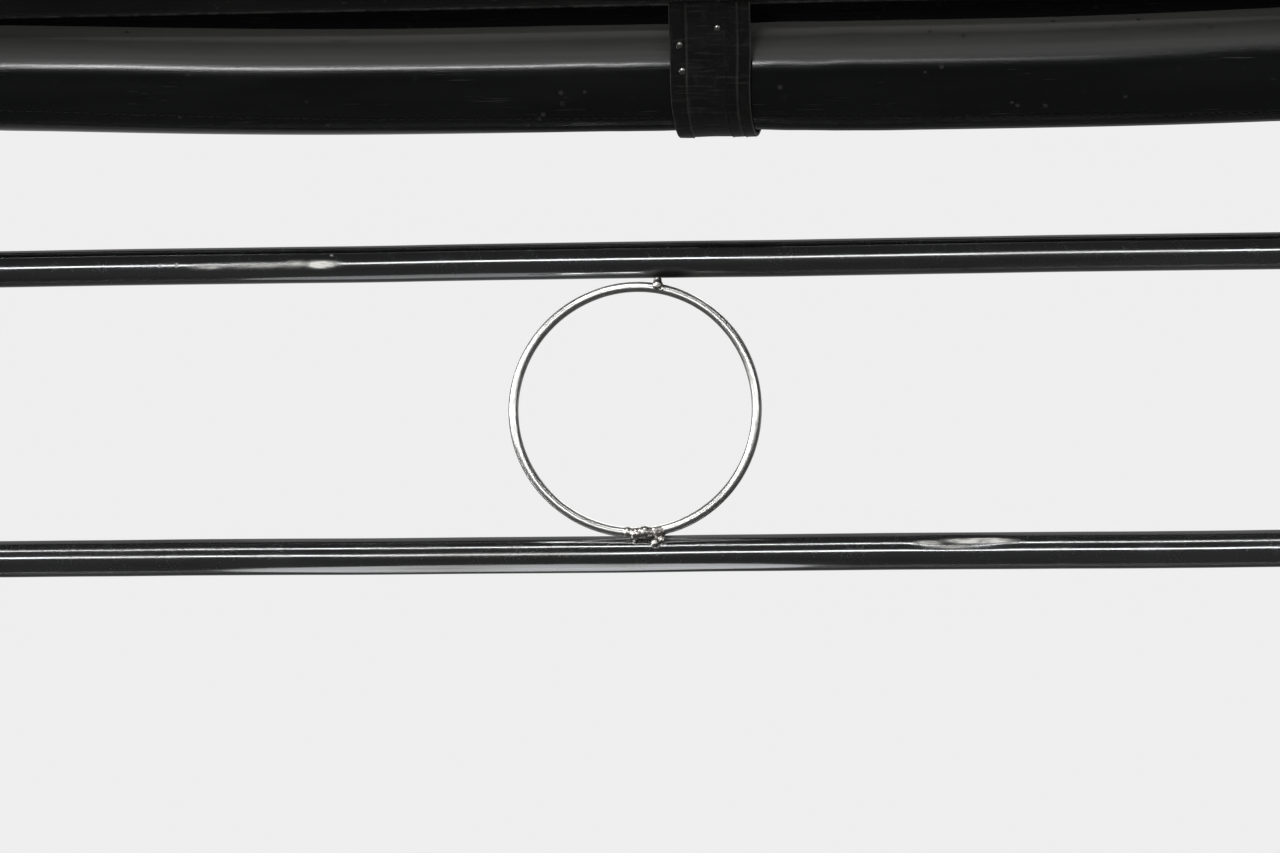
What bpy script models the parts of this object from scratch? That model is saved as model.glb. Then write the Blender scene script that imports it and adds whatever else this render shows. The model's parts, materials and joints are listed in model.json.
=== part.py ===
"""Side window bay of a jeepney.

Two polished guard rails with a wire ring tacked between them, a vinyl rain curtain rolled up under the eave
and held by straps, and the pressed steel frame that carries them.

Metres, +Z up, +X along the vehicle, -Y towards the street. The origin is the middle of the sill's underside.
"""

import math

import bmesh
import bpy
from mathutils import Matrix, Vector

# Clearance left between pieces that seat on each other
SEAT = 0.0003

# Window opening and frame
OPENING_WIDTH = 0.760
SILL_TO_RAIL = 0.170
RAIL_SPACING = 0.127
RAIL_TO_HEADER = 0.106
FRAME_DEPTH = 0.040
SHEET = 0.0012
BEND = 0.003

# Posts, pressed to a hat section with two beads
POST_WIDTH = 0.060
POST_FLANGE = 0.014
POST_BEAD_OFFSET = 0.0225
POST_BEAD_WIDTH = 0.0085
POST_BEAD_RISE = 0.002
POST_BEAD_BEND = 0.0016

# Sill tube and its stainless ledge cap
SILL_HEIGHT = 0.050
SILL_WALL = 0.002
SILL_CORNER = 0.0045
LEDGE_REACH = 0.013
LEDGE_NOSE = 0.012
LEDGE_SKIRT = 0.024
LEDGE_INNER_LEG = 0.016
LEDGE_BEND = 0.0045

# Header channel
HEADER_HEIGHT = 0.085
HEADER_LIP = 0.014

# Eave shelf over the curtain and the fascia screwed along its front
SHELF_FLANGE = 0.022
FASCIA_HEIGHT = 0.0185
FASCIA_LAP = 0.012
FASCIA_RETURN = 0.0045
FASCIA_RETURN_HEIGHT = 0.007
FASCIA_RETURN_BEND = 0.002
FASCIA_FOLD = 0.0005
FASCIA_CLEARANCE = 0.0015
FASCIA_TO_ROLL = 0.0055

# Rain gutter above the shelf
GUTTER_DEPTH = 0.016
GUTTER_HEIGHT = 0.011
GUTTER_FLANGE = 0.020
GUTTER_BEND = 0.005
GUTTER_GAP = 0.003

# Inner lining panels
LINING = 0.003
LINING_EDGE = 0.001

# Corner gussets that round the opening's corners
GUSSET_LEG = 0.052
GUSSET_TIP = 0.004
GUSSET_INSET = 0.006
GUSSET_SHEET = 0.002

# Guard rails
RAIL_DIAMETER = 0.0159
RAIL_WALL = 0.0012
RAIL_STANDOFF = 0.022
RAIL_END_REACH = 0.021
CAP_DOME = 0.0045
CAP_BRIM = 0.002
CAP_PLUG = 0.012
PLUG_CLEARANCE = 0.0003

# Old knock in the lower rail, on its upper front
DENT_X = 0.139
DENT_LENGTH = 0.052
DENT_DEPTH = 0.0007

# Rail pedestals
PEDESTAL_FLANGE = 0.032
PEDESTAL_THICKNESS = 0.0025
PEDESTAL_STEM = 0.011
PEDESTAL_FILLET = 0.003
PEDESTAL_CHAMFER = 0.0008

# Wire ring between the rails and its tacks
RING_ROD = 0.0044
RING_FORWARD = 0.005
RING_TOP_GAP = 0.0016
RING_BUTT_GAP = 0.0095
RING_BUTT_OFFSET = 0.0012
TACK_OFFSET = 0.0098
TOP_TACK_RADIUS = 0.0027
LOW_TACK_RADIUS = 0.0034
LOW_TACK_DROP = 0.0066
TACK_PROUD = 0.0012

# Rolled vinyl curtain
ROLL_DIAMETER = 0.049
ROLL_OVERLAP = 0.030
ROLL_STEP = 0.0012
CURTAIN_SHEET = 0.0010
LEFT_LIFT = 0.006
RIGHT_LIFT = 0.003
LEFT_SAG = 0.002
RIGHT_SAG = 0.0015

# Batten that clamps the curtain's top edge
BATTEN_HEIGHT = 0.016
BATTEN_THICKNESS = 0.003
BATTEN_INSET = 0.010
BATTEN_BELOW_SHELF = 0.002
BATTEN_EDGE = 0.0008

# Straps that hold the roll up
STRAP_WIDTH = 0.0355
STRAP_WAIST = 0.0340
STRAP_THICKNESS = 0.0015
STRAP_INSET = 0.035
MIDDLE_STRAP_X = 0.037

# Facets
BEND_STEPS = 4
RAIL_SIDES = 36
TURNED_SIDES = 28
RING_STEPS = 72
RING_BEVEL_RESOLUTION = 4
ROLL_STEPS = 30
ROLL_SIDES = 40
STRAP_ARC_STEPS = 24
SHARP_ANGLE = math.radians(35)
DENT_TURN = math.radians(156)
DENT_SPREAD = math.radians(42)
SEAM_LEFT = math.radians(57)
SEAM_RIGHT = math.radians(90)

# Where the dented rail has sections, as shares of half the dent's length
DENT_STATION_SHARES = (-1.0, -0.75, -0.5, -0.25, 0.0, 0.25, 0.5, 0.75, 1.0)
# How the hand-bent ring strays from a true circle: waves from its foot round to its top, share of its radius
RING_BEND_SHARES = ((1, -0.008), (2, -0.005), (3, 0.004))
# The lumpy weld between the rod's ends, by section
BUTT_WELD_SHARES = (
    # share of the gap, share of the rod's radius, rise as a share of that radius
    (0.00, 0.88, 0.00),
    (0.12, 1.10, 0.06),
    (0.26, 1.22, -0.05),
    (0.40, 0.98, 0.02),
    (0.54, 1.18, 0.10),
    (0.70, 1.30, -0.06),
    (0.86, 1.12, 0.05),
    (1.00, 0.86, 0.00),
)
# Lobes that make a tack weld lumpy: how many round it, how many up it, depth as a share of its radius
TACK_LOBE_SHARES = ((3, 2, 0.07), (5, 3, 0.05), (2, 5, 0.04))
# How far a strap is from its waist's width to its full width, from its front end to its back end
STRAP_WIDTH_SHARES = (1.0, 0.35, 0.0, 0.0, 0.35, 1.0)

# Places that follow from the sizes above
FACE_Y = -FRAME_DEPTH / 2
BACK_Y = FRAME_DEPTH / 2
RAIL_Y = FACE_Y - RAIL_STANDOFF
LEDGE_Z = SILL_HEIGHT + SEAT + SHEET
LOWER_RAIL_Z = LEDGE_Z + SILL_TO_RAIL
UPPER_RAIL_Z = LOWER_RAIL_Z + RAIL_SPACING
HEADER_Z = UPPER_RAIL_Z + RAIL_TO_HEADER
HEADER_TOP_Z = HEADER_Z + HEADER_HEIGHT
POST_X = (OPENING_WIDTH + POST_WIDTH) / 2
BAY_HALF = POST_X + POST_WIDTH / 2 + POST_FLANGE
RAIL_RADIUS = RAIL_DIAMETER / 2
ROD_RADIUS = RING_ROD / 2
ROLL_RADIUS = ROLL_DIAMETER / 2
ROLL_LENGTH = OPENING_WIDTH + 2 * ROLL_OVERLAP
BATTEN_LENGTH = ROLL_LENGTH - 2 * BATTEN_INSET
STRAP_REACH = OPENING_WIDTH / 2 - STRAP_INSET

# The curtain hangs in layers on the header's face: strap, sheet, batten
STRAP_BACK_Y = FACE_Y - SEAT
STRAP_INNER_Y = STRAP_BACK_Y - STRAP_THICKNESS
FLAP_BACK_Y = STRAP_INNER_Y - SEAT
FLAP_FRONT_Y = FLAP_BACK_Y - CURTAIN_SHEET
BATTEN_BACK_Y = FLAP_FRONT_Y - SEAT
ROLL_Y = FLAP_BACK_Y - ROLL_RADIUS
STRAP_FRONT_Y = ROLL_Y - ROLL_RADIUS - SEAT - STRAP_THICKNESS
FASCIA_Y = STRAP_FRONT_Y - FASCIA_CLEARANCE - SHEET - FASCIA_RETURN

# The roll's middle hangs lowest, at its middle strap
BATTEN_Z = HEADER_Z + SHEET + BEND
SHELF_Z = BATTEN_Z + BATTEN_HEIGHT + BATTEN_BELOW_SHELF
FASCIA_LOW_Z = SHELF_Z - FASCIA_HEIGHT
ROLL_Z = FASCIA_LOW_Z - SHEET - FASCIA_TO_ROLL - ROLL_RADIUS

# The ring stands on the front of the lower rail
RING_SEAT = math.sqrt((RAIL_RADIUS + SEAT + ROD_RADIUS) ** 2 - RING_FORWARD**2)
RING_BOTTOM_Z = LOWER_RAIL_Z + RING_SEAT
RING_TOP_Z = UPPER_RAIL_Z - RAIL_RADIUS - RING_TOP_GAP - ROD_RADIUS
RING_RADIUS = (RING_TOP_Z - RING_BOTTOM_Z) / 2
RING_Z = (RING_TOP_Z + RING_BOTTOM_Z) / 2


def clear_scene():
    """Removes whatever the scene starts with."""
    for obj in list(bpy.data.objects):
        bpy.data.objects.remove(obj)


def finish(name, colour, roughness, metallic):
    """A plain Principled material."""
    made = bpy.data.materials.new(name)
    made.use_nodes = True
    shader = made.node_tree.nodes["Principled BSDF"]
    shader.inputs["Base Color"].default_value = (*colour, 1.0)
    shader.inputs["Roughness"].default_value = roughness
    shader.inputs["Metallic"].default_value = metallic
    return made


def add_object(name, data, look):
    """Puts a mesh or a curve in the scene under its own name."""
    data.materials.append(look)
    obj = bpy.data.objects.new(name, data)
    bpy.context.scene.collection.objects.link(obj)
    return obj


def add_solid(name, bm, look):
    """Turns a closed bmesh into an object that is smooth apart from its sharp edges."""
    bmesh.ops.recalc_face_normals(bm, faces=bm.faces)
    mesh = bpy.data.meshes.new(name)
    bm.to_mesh(mesh)
    bm.free()
    mesh.shade_smooth()
    mesh.set_sharp_from_angle(angle=SHARP_ANGLE)
    return add_object(name, mesh, look)


def skin(loops, cyclic=False):
    """A closed bmesh through loops of as many points each: capped at both ends, or joined end to start."""
    bm = bmesh.new()
    rings = [[bm.verts.new(point) for point in loop] for loop in loops]
    following = rings[1:] + rings[:1] if cyclic else rings[1:]
    for ring, after in zip(rings, following):
        for i, corner in enumerate(ring):
            j = (i + 1) % len(ring)
            bm.faces.new((corner, ring[j], after[j], after[i]))
    if not cyclic:
        bm.faces.new(rings[0])
        bm.faces.new(rings[-1])
    return bm


def along_x(outline, x):
    """A section drawn as (y, z), stood at x."""
    return [Vector((x, y, z)) for y, z in outline]


def along_z(outline, z):
    """A section drawn as (x, y), laid at z."""
    return [Vector((x, y, z)) for x, y in outline]


def circle(radius, sides, centre=(0, 0)):
    """The corners of a round section, as pairs."""
    turns = (2 * math.pi * i / sides for i in range(sides))
    return [(centre[0] + radius * math.cos(a), centre[1] + radius * math.sin(a)) for a in turns]


def left_of(direction):
    """The direction a quarter turn anticlockwise."""
    return Vector((-direction.y, direction.x))


def rounded(corners):
    """Points and left-hand normals along straight runs, with each corner rounded to its own radius."""
    spots = [Vector(corner[:2]) for corner in corners]
    runs = [(b - a).normalized() for a, b in zip(spots, spots[1:])]
    path = [(spots[0], left_of(runs[0]))]
    for spot, corner, before, after in zip(spots[1:], corners[1:], runs, runs[1:]):
        radius = corner[2]
        turn = math.atan2(before.cross(after), before.dot(after))
        side = math.copysign(radius, turn)
        setback = radius * math.tan(abs(turn) / 2)
        centre = spot - before * setback + left_of(before) * side
        for step in range(BEND_STEPS + 1):
            normal = left_of(before)
            normal.rotate(Matrix.Rotation(turn * step / BEND_STEPS, 2))
            path.append((centre - normal * side, normal))
    path.append((spots[-1], left_of(runs[-1])))
    return path


def folded(corners, thickness=SHEET):
    """The outline of a folded sheet whose right-hand face runs along the corners, given as (u, v, radius)."""
    path = rounded(corners)
    face = [tuple(point) for point, _ in path]
    back = [tuple(point + normal * thickness) for point, normal in reversed(path)]
    return face + back


def add_bar(name, outline, half_length, look):
    """A section drawn as (y, z) that runs along the vehicle, centred on the bay."""
    return add_solid(name, skin([along_x(outline, -half_length), along_x(outline, half_length)]), look)


def add_panel(name, corner, opposite, edge, look):
    """A flat panel between two opposite corners, its edges eased all round."""
    bm = bmesh.new()
    size = Vector(opposite) - Vector(corner)
    bmesh.ops.create_cube(bm, size=1)
    bmesh.ops.scale(bm, vec=size, verts=bm.verts)
    bmesh.ops.translate(bm, vec=(Vector(corner) + Vector(opposite)) / 2, verts=bm.verts)
    bmesh.ops.bevel(bm, geom=bm.edges, offset=edge, segments=2, profile=0.5, affect="EDGES")
    return add_solid(name, bm, look)


def add_turned(name, profile, look, place, axis):
    """A profile of (radius, height) pairs turned about its own axis, then laid along the given one."""
    bm = skin([along_z(circle(radius, TURNED_SIDES), height) for radius, height in profile])
    laid = Vector((0, 0, 1)).rotation_difference(Vector(axis)).to_matrix().to_4x4()
    bmesh.ops.transform(bm, matrix=Matrix.Translation(place) @ laid, verts=bm.verts)
    return add_solid(name, bm, look)


def add_cutter(name, bm):
    """A shape that only cuts."""
    cutter = add_solid(name, bm, bpy.data.materials["cutter"])
    cutter.hide_render = True
    cutter.display_type = "WIRE"
    return cutter


def cut(obj, *cutters):
    """Takes each cutter's shape out of an object."""
    for cutter in cutters:
        modifier = obj.modifiers.new("cut_" + cutter.name, "BOOLEAN")
        modifier.operation = "DIFFERENCE"
        modifier.solver = "EXACT"
        modifier.object = cutter


def between(low, high, share):
    """The value a share of the way from low to high."""
    return low + (high - low) * share


def roll_height(x):
    """Height of the roll's axis at x: lifted at its outer straps, sagging between them."""
    if x < MIDDLE_STRAP_X:
        lift, sag, span = LEFT_LIFT, LEFT_SAG, MIDDLE_STRAP_X + STRAP_REACH
    else:
        lift, sag, span = RIGHT_LIFT, RIGHT_SAG, STRAP_REACH - MIDDLE_STRAP_X
    share = min(1.0, abs(x - MIDDLE_STRAP_X) / span)
    eased = share * share * (3 - 2 * share)
    return ROLL_Z + lift * eased - sag * (1 - math.cos(2 * math.pi * share)) / 2


def tube_section(corner, opposite, inset):
    """A rectangular tube's outline with round corners, drawn in by an inset."""
    (near, low), (far, high) = corner, opposite
    radius = SILL_CORNER - inset
    outline = []
    for index, (y, z) in enumerate(((far, high), (near, high), (near, low), (far, low))):
        centre_y = y + math.copysign(SILL_CORNER, (near + far) / 2 - y)
        centre_z = z + math.copysign(SILL_CORNER, (low + high) / 2 - z)
        for step in range(BEND_STEPS + 1):
            angle = math.pi / 2 * (index + step / BEND_STEPS)
            outline.append((centre_y + radius * math.cos(angle), centre_z + radius * math.sin(angle)))
    return outline


def hat_section(centre_x):
    """A post's section: a beaded face to the street, two sides and two flanges at the back."""
    half = POST_WIDTH / 2
    flange_y = BACK_Y - SHEET
    slope = POST_BEAD_RISE
    corners = [(centre_x - half - POST_FLANGE, flange_y, 0), (centre_x - half, flange_y, BEND)]
    corners.append((centre_x - half, FACE_Y, BEND))
    for offset in (-POST_BEAD_OFFSET, POST_BEAD_OFFSET):
        foot = POST_BEAD_WIDTH / 2
        middle = centre_x + offset
        corners.append((middle - foot, FACE_Y, POST_BEAD_BEND))
        corners.append((middle - foot + slope, FACE_Y - POST_BEAD_RISE, POST_BEAD_BEND))
        corners.append((middle + foot - slope, FACE_Y - POST_BEAD_RISE, POST_BEAD_BEND))
        corners.append((middle + foot, FACE_Y, POST_BEAD_BEND))
    corners.append((centre_x + half, FACE_Y, BEND))
    corners.append((centre_x + half, flange_y, BEND))
    corners.append((centre_x + half + POST_FLANGE, flange_y, 0))
    return folded(corners)


def add_posts(look, lining_look):
    """The two posts between sill and header, each with a lining panel over its open back."""
    low, high = LEDGE_Z + SEAT, HEADER_Z - SEAT
    reach = POST_WIDTH / 2 + POST_FLANGE
    for side, centre_x in (("left", -POST_X), ("right", POST_X)):
        section = hat_section(centre_x)
        add_solid("post_" + side, skin([along_z(section, low), along_z(section, high)]), look)
        near = (centre_x - reach, BACK_Y + SEAT, low)
        far = (centre_x + reach, BACK_Y + SEAT + LINING, high)
        add_panel("post_lining_" + side, near, far, LINING_EDGE, lining_look)


def add_sill(tube_look, cap_look):
    """The rectangular sill tube and the folded ledge cap over it."""
    outer = tube_section((FACE_Y, 0), (BACK_Y, SILL_HEIGHT), 0)
    inner = tube_section((FACE_Y, 0), (BACK_Y, SILL_HEIGHT), SILL_WALL)
    loops = [along_x(section, x) for section, x in ((outer, -BAY_HALF), (outer, BAY_HALF))]
    loops += [along_x(section, x) for section, x in ((inner, BAY_HALF), (inner, -BAY_HALF))]
    add_solid("sill_tube", skin(loops, cyclic=True), tube_look)

    top = SILL_HEIGHT + SEAT
    nose_y, face_y, inner_y = FACE_Y - LEDGE_REACH, FACE_Y - SEAT, BACK_Y + SEAT
    corners = [
        (face_y, top - LEDGE_NOSE - LEDGE_SKIRT, 0),
        (face_y, top - LEDGE_NOSE, BEND),
        (nose_y, top - LEDGE_NOSE, LEDGE_BEND),
        (nose_y, top, LEDGE_BEND),
        (inner_y, top, BEND),
        (inner_y, top - LEDGE_INNER_LEG, 0),
    ]
    add_bar("sill_ledge", folded(corners), BAY_HALF, cap_look)


def add_header(look, lining_look):
    """The header channel, open to the inside, and the lining panel that closes it."""
    corners = [
        (BACK_Y, HEADER_TOP_Z - HEADER_LIP, 0),
        (BACK_Y, HEADER_TOP_Z, BEND),
        (FACE_Y, HEADER_TOP_Z, BEND),
        (FACE_Y, HEADER_Z, BEND),
        (BACK_Y, HEADER_Z, BEND),
        (BACK_Y, HEADER_Z + HEADER_LIP, 0),
    ]
    add_bar("header_channel", folded(corners), BAY_HALF, look)
    near = (-BAY_HALF, BACK_Y + SEAT, HEADER_Z)
    far = (BAY_HALF, BACK_Y + SEAT + LINING, HEADER_TOP_Z)
    add_panel("header_lining", near, far, LINING_EDGE, lining_look)


def add_eave(look):
    """The shelf that shelters the curtain, the fascia along its front and the rain gutter above it."""
    face_y = FACE_Y - SEAT
    flange_top = SHELF_Z + SHELF_FLANGE
    corners = [(FASCIA_Y + SEAT, SHELF_Z, 0), (face_y, SHELF_Z, BEND), (face_y, flange_top, 0)]
    add_bar("eave_shelf", folded(corners), BAY_HALF, look)

    lap_z = SHELF_Z + SHEET + SEAT
    corners = [
        (FASCIA_Y + FASCIA_RETURN, FASCIA_LOW_Z + FASCIA_RETURN_HEIGHT, 0),
        (FASCIA_Y + FASCIA_RETURN, FASCIA_LOW_Z, FASCIA_RETURN_BEND),
        (FASCIA_Y, FASCIA_LOW_Z, FASCIA_RETURN_BEND),
        (FASCIA_Y, lap_z, FASCIA_FOLD),
        (FASCIA_Y + FASCIA_LAP, lap_z, 0),
    ]
    add_bar("eave_fascia", folded(corners), BAY_HALF, look)

    low = flange_top + GUTTER_GAP
    corners = [
        (face_y - GUTTER_DEPTH, low + GUTTER_HEIGHT, 0),
        (face_y - GUTTER_DEPTH, low, GUTTER_BEND),
        (face_y, low, GUTTER_BEND),
        (face_y, low + GUTTER_FLANGE, 0),
    ]
    add_bar("rain_gutter", folded(corners), BAY_HALF, look)


def add_gussets(look):
    """Four corner plates with a hollow round edge, so that the opening has round corners."""
    y = FACE_Y + GUSSET_INSET
    radius = GUSSET_LEG - GUSSET_TIP
    for across, side in ((-1, "left"), (1, "right")):
        for up, level, corner_z in ((1, "lower", LEDGE_Z + SEAT), (-1, "upper", HEADER_Z - SEAT)):
            edge = [(0, 0), (GUSSET_LEG, 0)]
            for step in range(2 * BEND_STEPS + 1):
                angle = math.pi / 2 * step / (2 * BEND_STEPS)
                edge.append((GUSSET_LEG - radius * math.sin(angle), GUSSET_LEG - radius * math.cos(angle)))
            edge.append((0, GUSSET_LEG))
            corner_x = across * (OPENING_WIDTH / 2 - SEAT)
            plate = [
                [Vector((corner_x - across * u, depth, corner_z + up * v)) for u, v in edge]
                for depth in (y, y + GUSSET_SHEET)
            ]
            add_solid(f"gusset_{level}_{side}", skin(plate), look)


def add_rails(look, pedestal_look):
    """Both guard rails: a tube, two domed end caps that plug it, and two pedestals to the posts."""
    half = POST_X + RAIL_END_REACH
    bore = RAIL_RADIUS - RAIL_WALL
    for level, z in (("lower", LOWER_RAIL_Z), ("upper", UPPER_RAIL_Z)):
        stations = [-half, half]
        if level == "lower":
            stations[1:1] = [DENT_X + share * DENT_LENGTH / 2 for share in DENT_STATION_SHARES]
        outer = [dented_circle(RAIL_RADIUS, x, z) for x in stations]
        inner = [dented_circle(bore, x, z) for x in reversed(stations)]
        add_solid("rail_" + level, skin(outer + inner, cyclic=True), look)

        clear = add_cutter("clear_" + level, rail_clearance(z, half))
        for across, side in ((-1, "left"), (1, "right")):
            end = Vector((across * (half + SEAT), RAIL_Y, z))
            add_turned(f"rail_cap_{level}_{side}", cap_profile(bore), look, end, (across, 0, 0))
            foot = Vector((across * POST_X, FACE_Y - SEAT, z))
            name = f"pedestal_{level}_{side}"
            pedestal = add_turned(name, pedestal_profile(), pedestal_look, foot, (0, -1, 0))
            cut(pedestal, clear)


def dented_circle(radius, x, z):
    """A rail's round section at x, sunk where the dent is."""
    along = (x - DENT_X) / (DENT_LENGTH / 2)
    section = []
    for side in range(RAIL_SIDES):
        turn = 2 * math.pi * side / RAIL_SIDES
        around = (turn - DENT_TURN) / DENT_SPREAD
        hollow = max(0, 1 - along * along) * max(0, 1 - around * around)
        reach = radius - DENT_DEPTH * hollow * hollow
        section.append((RAIL_Y + reach * math.cos(turn), z + reach * math.sin(turn)))
    return along_x(section, x)


def rail_clearance(z, half):
    """A rod a little thicker than the rail, which shapes whatever seats on it."""
    section = circle(RAIL_RADIUS + SEAT, RAIL_SIDES, (RAIL_Y, z))
    return skin([along_x(section, -half), along_x(section, half)])


def cap_profile(bore):
    """An end cap's profile: plug, brim flush with the tube, dome."""
    plug = bore - PLUG_CLEARANCE
    profile = [(plug, -CAP_PLUG), (plug, 0), (RAIL_RADIUS, 0), (RAIL_RADIUS, CAP_BRIM)]
    for step in range(1, BEND_STEPS + 2):
        angle = math.pi / 2 * step / (BEND_STEPS + 2)
        profile.append((RAIL_RADIUS * math.cos(angle), CAP_BRIM + CAP_DOME * math.sin(angle)))
    return profile


def pedestal_profile():
    """A pedestal's profile: a chamfered flange on the post, a fillet, and a stem up to the rail's axis."""
    flange, stem = PEDESTAL_FLANGE / 2, PEDESTAL_STEM / 2
    profile = [(flange, 0), (flange, PEDESTAL_THICKNESS - PEDESTAL_CHAMFER)]
    profile.append((flange - PEDESTAL_CHAMFER, PEDESTAL_THICKNESS))
    for step in range(BEND_STEPS + 1):
        angle = math.pi / 2 * step / BEND_STEPS
        out = PEDESTAL_FILLET * (1 - math.sin(angle))
        rise = PEDESTAL_FILLET * (1 - math.cos(angle))
        profile.append((stem + out, PEDESTAL_THICKNESS + rise))
    profile.append((stem, RAIL_STANDOFF - SEAT))
    return profile


def ring_outward(turn):
    """The direction away from the ring's middle, at an angle from its lowest point."""
    return Vector((math.sin(turn), 0, -math.cos(turn)))


def ring_point(turn):
    """A point on the middle line of the ring's rod, which strays a little from a circle."""
    stray = sum(share * math.sin(waves * turn) for waves, share in RING_BEND_SHARES)
    return Vector((0, RAIL_Y - RING_FORWARD, RING_Z)) + ring_outward(turn) * RING_RADIUS * (1 + stray)


def rod_line(name, points, radius, look):
    """A round rod along points, as a curve with a bevel and filled ends."""
    line = bpy.data.curves.new(name, "CURVE")
    line.dimensions = "3D"
    line.bevel_depth = radius
    line.bevel_resolution = RING_BEVEL_RESOLUTION
    line.use_fill_caps = True
    spline = line.splines.new("POLY")
    spline.points.add(len(points) - 1)
    for spot, point in zip(spline.points, points):
        spot.co = (*point, 1)
    return add_object(name, line, look)


def add_ring(look, weld_look):
    """The wire ring, the weld that joins its two ends, and the two tacks that hold it to the rails."""
    gap = RING_BUTT_GAP / RING_RADIUS
    start = RING_BUTT_OFFSET / RING_RADIUS + gap / 2
    sweep = 2 * math.pi - gap
    turns = [start + sweep * i / RING_STEPS for i in range(RING_STEPS + 1)]
    rod_line("ring", [ring_point(turn) for turn in turns], ROD_RADIUS, look)

    half = POST_X + RAIL_END_REACH
    low_rail = add_cutter("clear_lower_tack", rail_clearance(LOWER_RAIL_Z, half))
    high_rail = add_cutter("clear_upper_tack", rail_clearance(UPPER_RAIL_Z, half))
    clear_rod = add_cutter("clear_rod", rod_clearance())
    cut(add_butt_weld(start - gap, gap, weld_look), low_rail)

    turn = math.asin(TACK_OFFSET / RING_RADIUS)
    on_rod = ring_point(turn)
    middle = on_rod + Vector((0, -TACK_PROUD, ROD_RADIUS - LOW_TACK_DROP / 2))
    tack = add_tack("tack_lower", middle, LOW_TACK_RADIUS, LOW_TACK_DROP, weld_look)
    cut(tack, low_rail, clear_rod)

    on_rod = ring_point(math.pi - turn)
    reach = RING_TOP_GAP + RING_ROD
    middle = on_rod + Vector((0, -TACK_PROUD, RING_TOP_GAP / 2))
    tack = add_tack("tack_upper", middle, TOP_TACK_RADIUS, reach, weld_look)
    cut(tack, high_rail, clear_rod)


def rod_clearance():
    """A full ring a little thicker than the rod, which shapes the tacks that seat on it."""
    loops = []
    for step in range(RING_STEPS):
        turn = 2 * math.pi * step / RING_STEPS
        outward = ring_outward(turn)
        centre = ring_point(turn)
        section = circle(ROD_RADIUS + SEAT, TURNED_SIDES)
        loops.append([centre + outward * u + Vector((0, v, 0)) for u, v in section])
    return skin(loops, cyclic=True)


def add_butt_weld(start, gap, look):
    """The rough weld between the ring's two ends, each section as thick as its share of the rod."""
    sides = TURNED_SIDES // 2
    trim = SEAT / RING_RADIUS
    loops = []
    for along, thick, rise in BUTT_WELD_SHARES:
        turn = between(start + trim, start + gap - trim, along)
        outward = ring_outward(turn)
        centre = ring_point(turn) + outward * ROD_RADIUS * rise
        loops.append([centre + outward * u + Vector((0, v, 0)) for u, v in circle(ROD_RADIUS * thick, sides)])
    return add_solid("weld_butt", skin(loops), look)


def add_tack(name, middle, radius, height, look):
    """A lumpy bead of weld metal, before the rod and the rail are cut from it."""
    bm = bmesh.new()
    bmesh.ops.create_uvsphere(bm, u_segments=TURNED_SIDES // 2, v_segments=TURNED_SIDES // 3, radius=1)
    for vert in bm.verts:
        around = math.atan2(vert.co.y, vert.co.x)
        up = math.asin(max(-1.0, min(1.0, vert.co.z)))
        lump = sum(depth * math.sin(n * around + m * up) for n, m, depth in TACK_LOBE_SHARES)
        vert.co *= 1 + lump * math.cos(up)
    bmesh.ops.scale(bm, vec=(radius, radius, height / 2 + radius / 2), verts=bm.verts)
    bmesh.ops.translate(bm, vec=middle, verts=bm.verts)
    return add_solid(name, bm, look)


def roll_outline(x):
    """The roll's section at x: one turn of a spiral, closed by the step where its hem lies on it."""
    seam = between(SEAM_LEFT, SEAM_RIGHT, x / ROLL_LENGTH + 1 / 2)
    height = roll_height(x)
    outline = []
    for side in range(ROLL_SIDES + 1):
        share = side / ROLL_SIDES
        angle = math.pi + seam + 2 * math.pi * share
        reach = ROLL_RADIUS - ROLL_STEP * (1 - share)
        outline.append((ROLL_Y + reach * math.cos(angle), height + reach * math.sin(angle)))
    return outline


def add_curtain(look, batten_look):
    """The rolled curtain, the stretch of sheet up to the header, and the batten that clamps it."""
    half = ROLL_LENGTH / 2
    places = [between(-half, half, step / ROLL_STEPS) for step in range(ROLL_STEPS + 1)]
    add_solid("curtain_roll", skin([along_x(roll_outline(x), x) for x in places]), look)

    clear = ROLL_RADIUS + SEAT
    above_axis = math.sqrt(clear**2 - (FLAP_FRONT_Y - ROLL_Y) ** 2)
    top = BATTEN_Z + BATTEN_HEIGHT
    loops = []
    for x in places:
        low = roll_height(x) + above_axis
        section = [(FLAP_FRONT_Y, low), (FLAP_BACK_Y, low), (FLAP_BACK_Y, top), (FLAP_FRONT_Y, top)]
        loops.append(along_x(section, x))
    add_solid("curtain_flap", skin(loops), look)

    near = (-BATTEN_LENGTH / 2, BATTEN_BACK_Y - BATTEN_THICKNESS, BATTEN_Z)
    far = (BATTEN_LENGTH / 2, BATTEN_BACK_Y, top)
    add_panel("curtain_batten", near, far, BATTEN_EDGE, batten_look)


def strap_arc():
    """The stretch of a strap's middle layer that lies on the roll: down its front, below it and up its back.

    Each point is (y, height from the roll's axis, direction away from the roll).
    """
    radius = ROLL_RADIUS + SEAT + STRAP_THICKNESS / 2
    arc = []
    for step in range(STRAP_ARC_STEPS + 1):
        angle = math.pi + math.pi * step / STRAP_ARC_STEPS
        outward = (math.cos(angle), math.sin(angle))
        arc.append((ROLL_Y + radius * outward[0], radius * outward[1], outward))
    return arc


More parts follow.
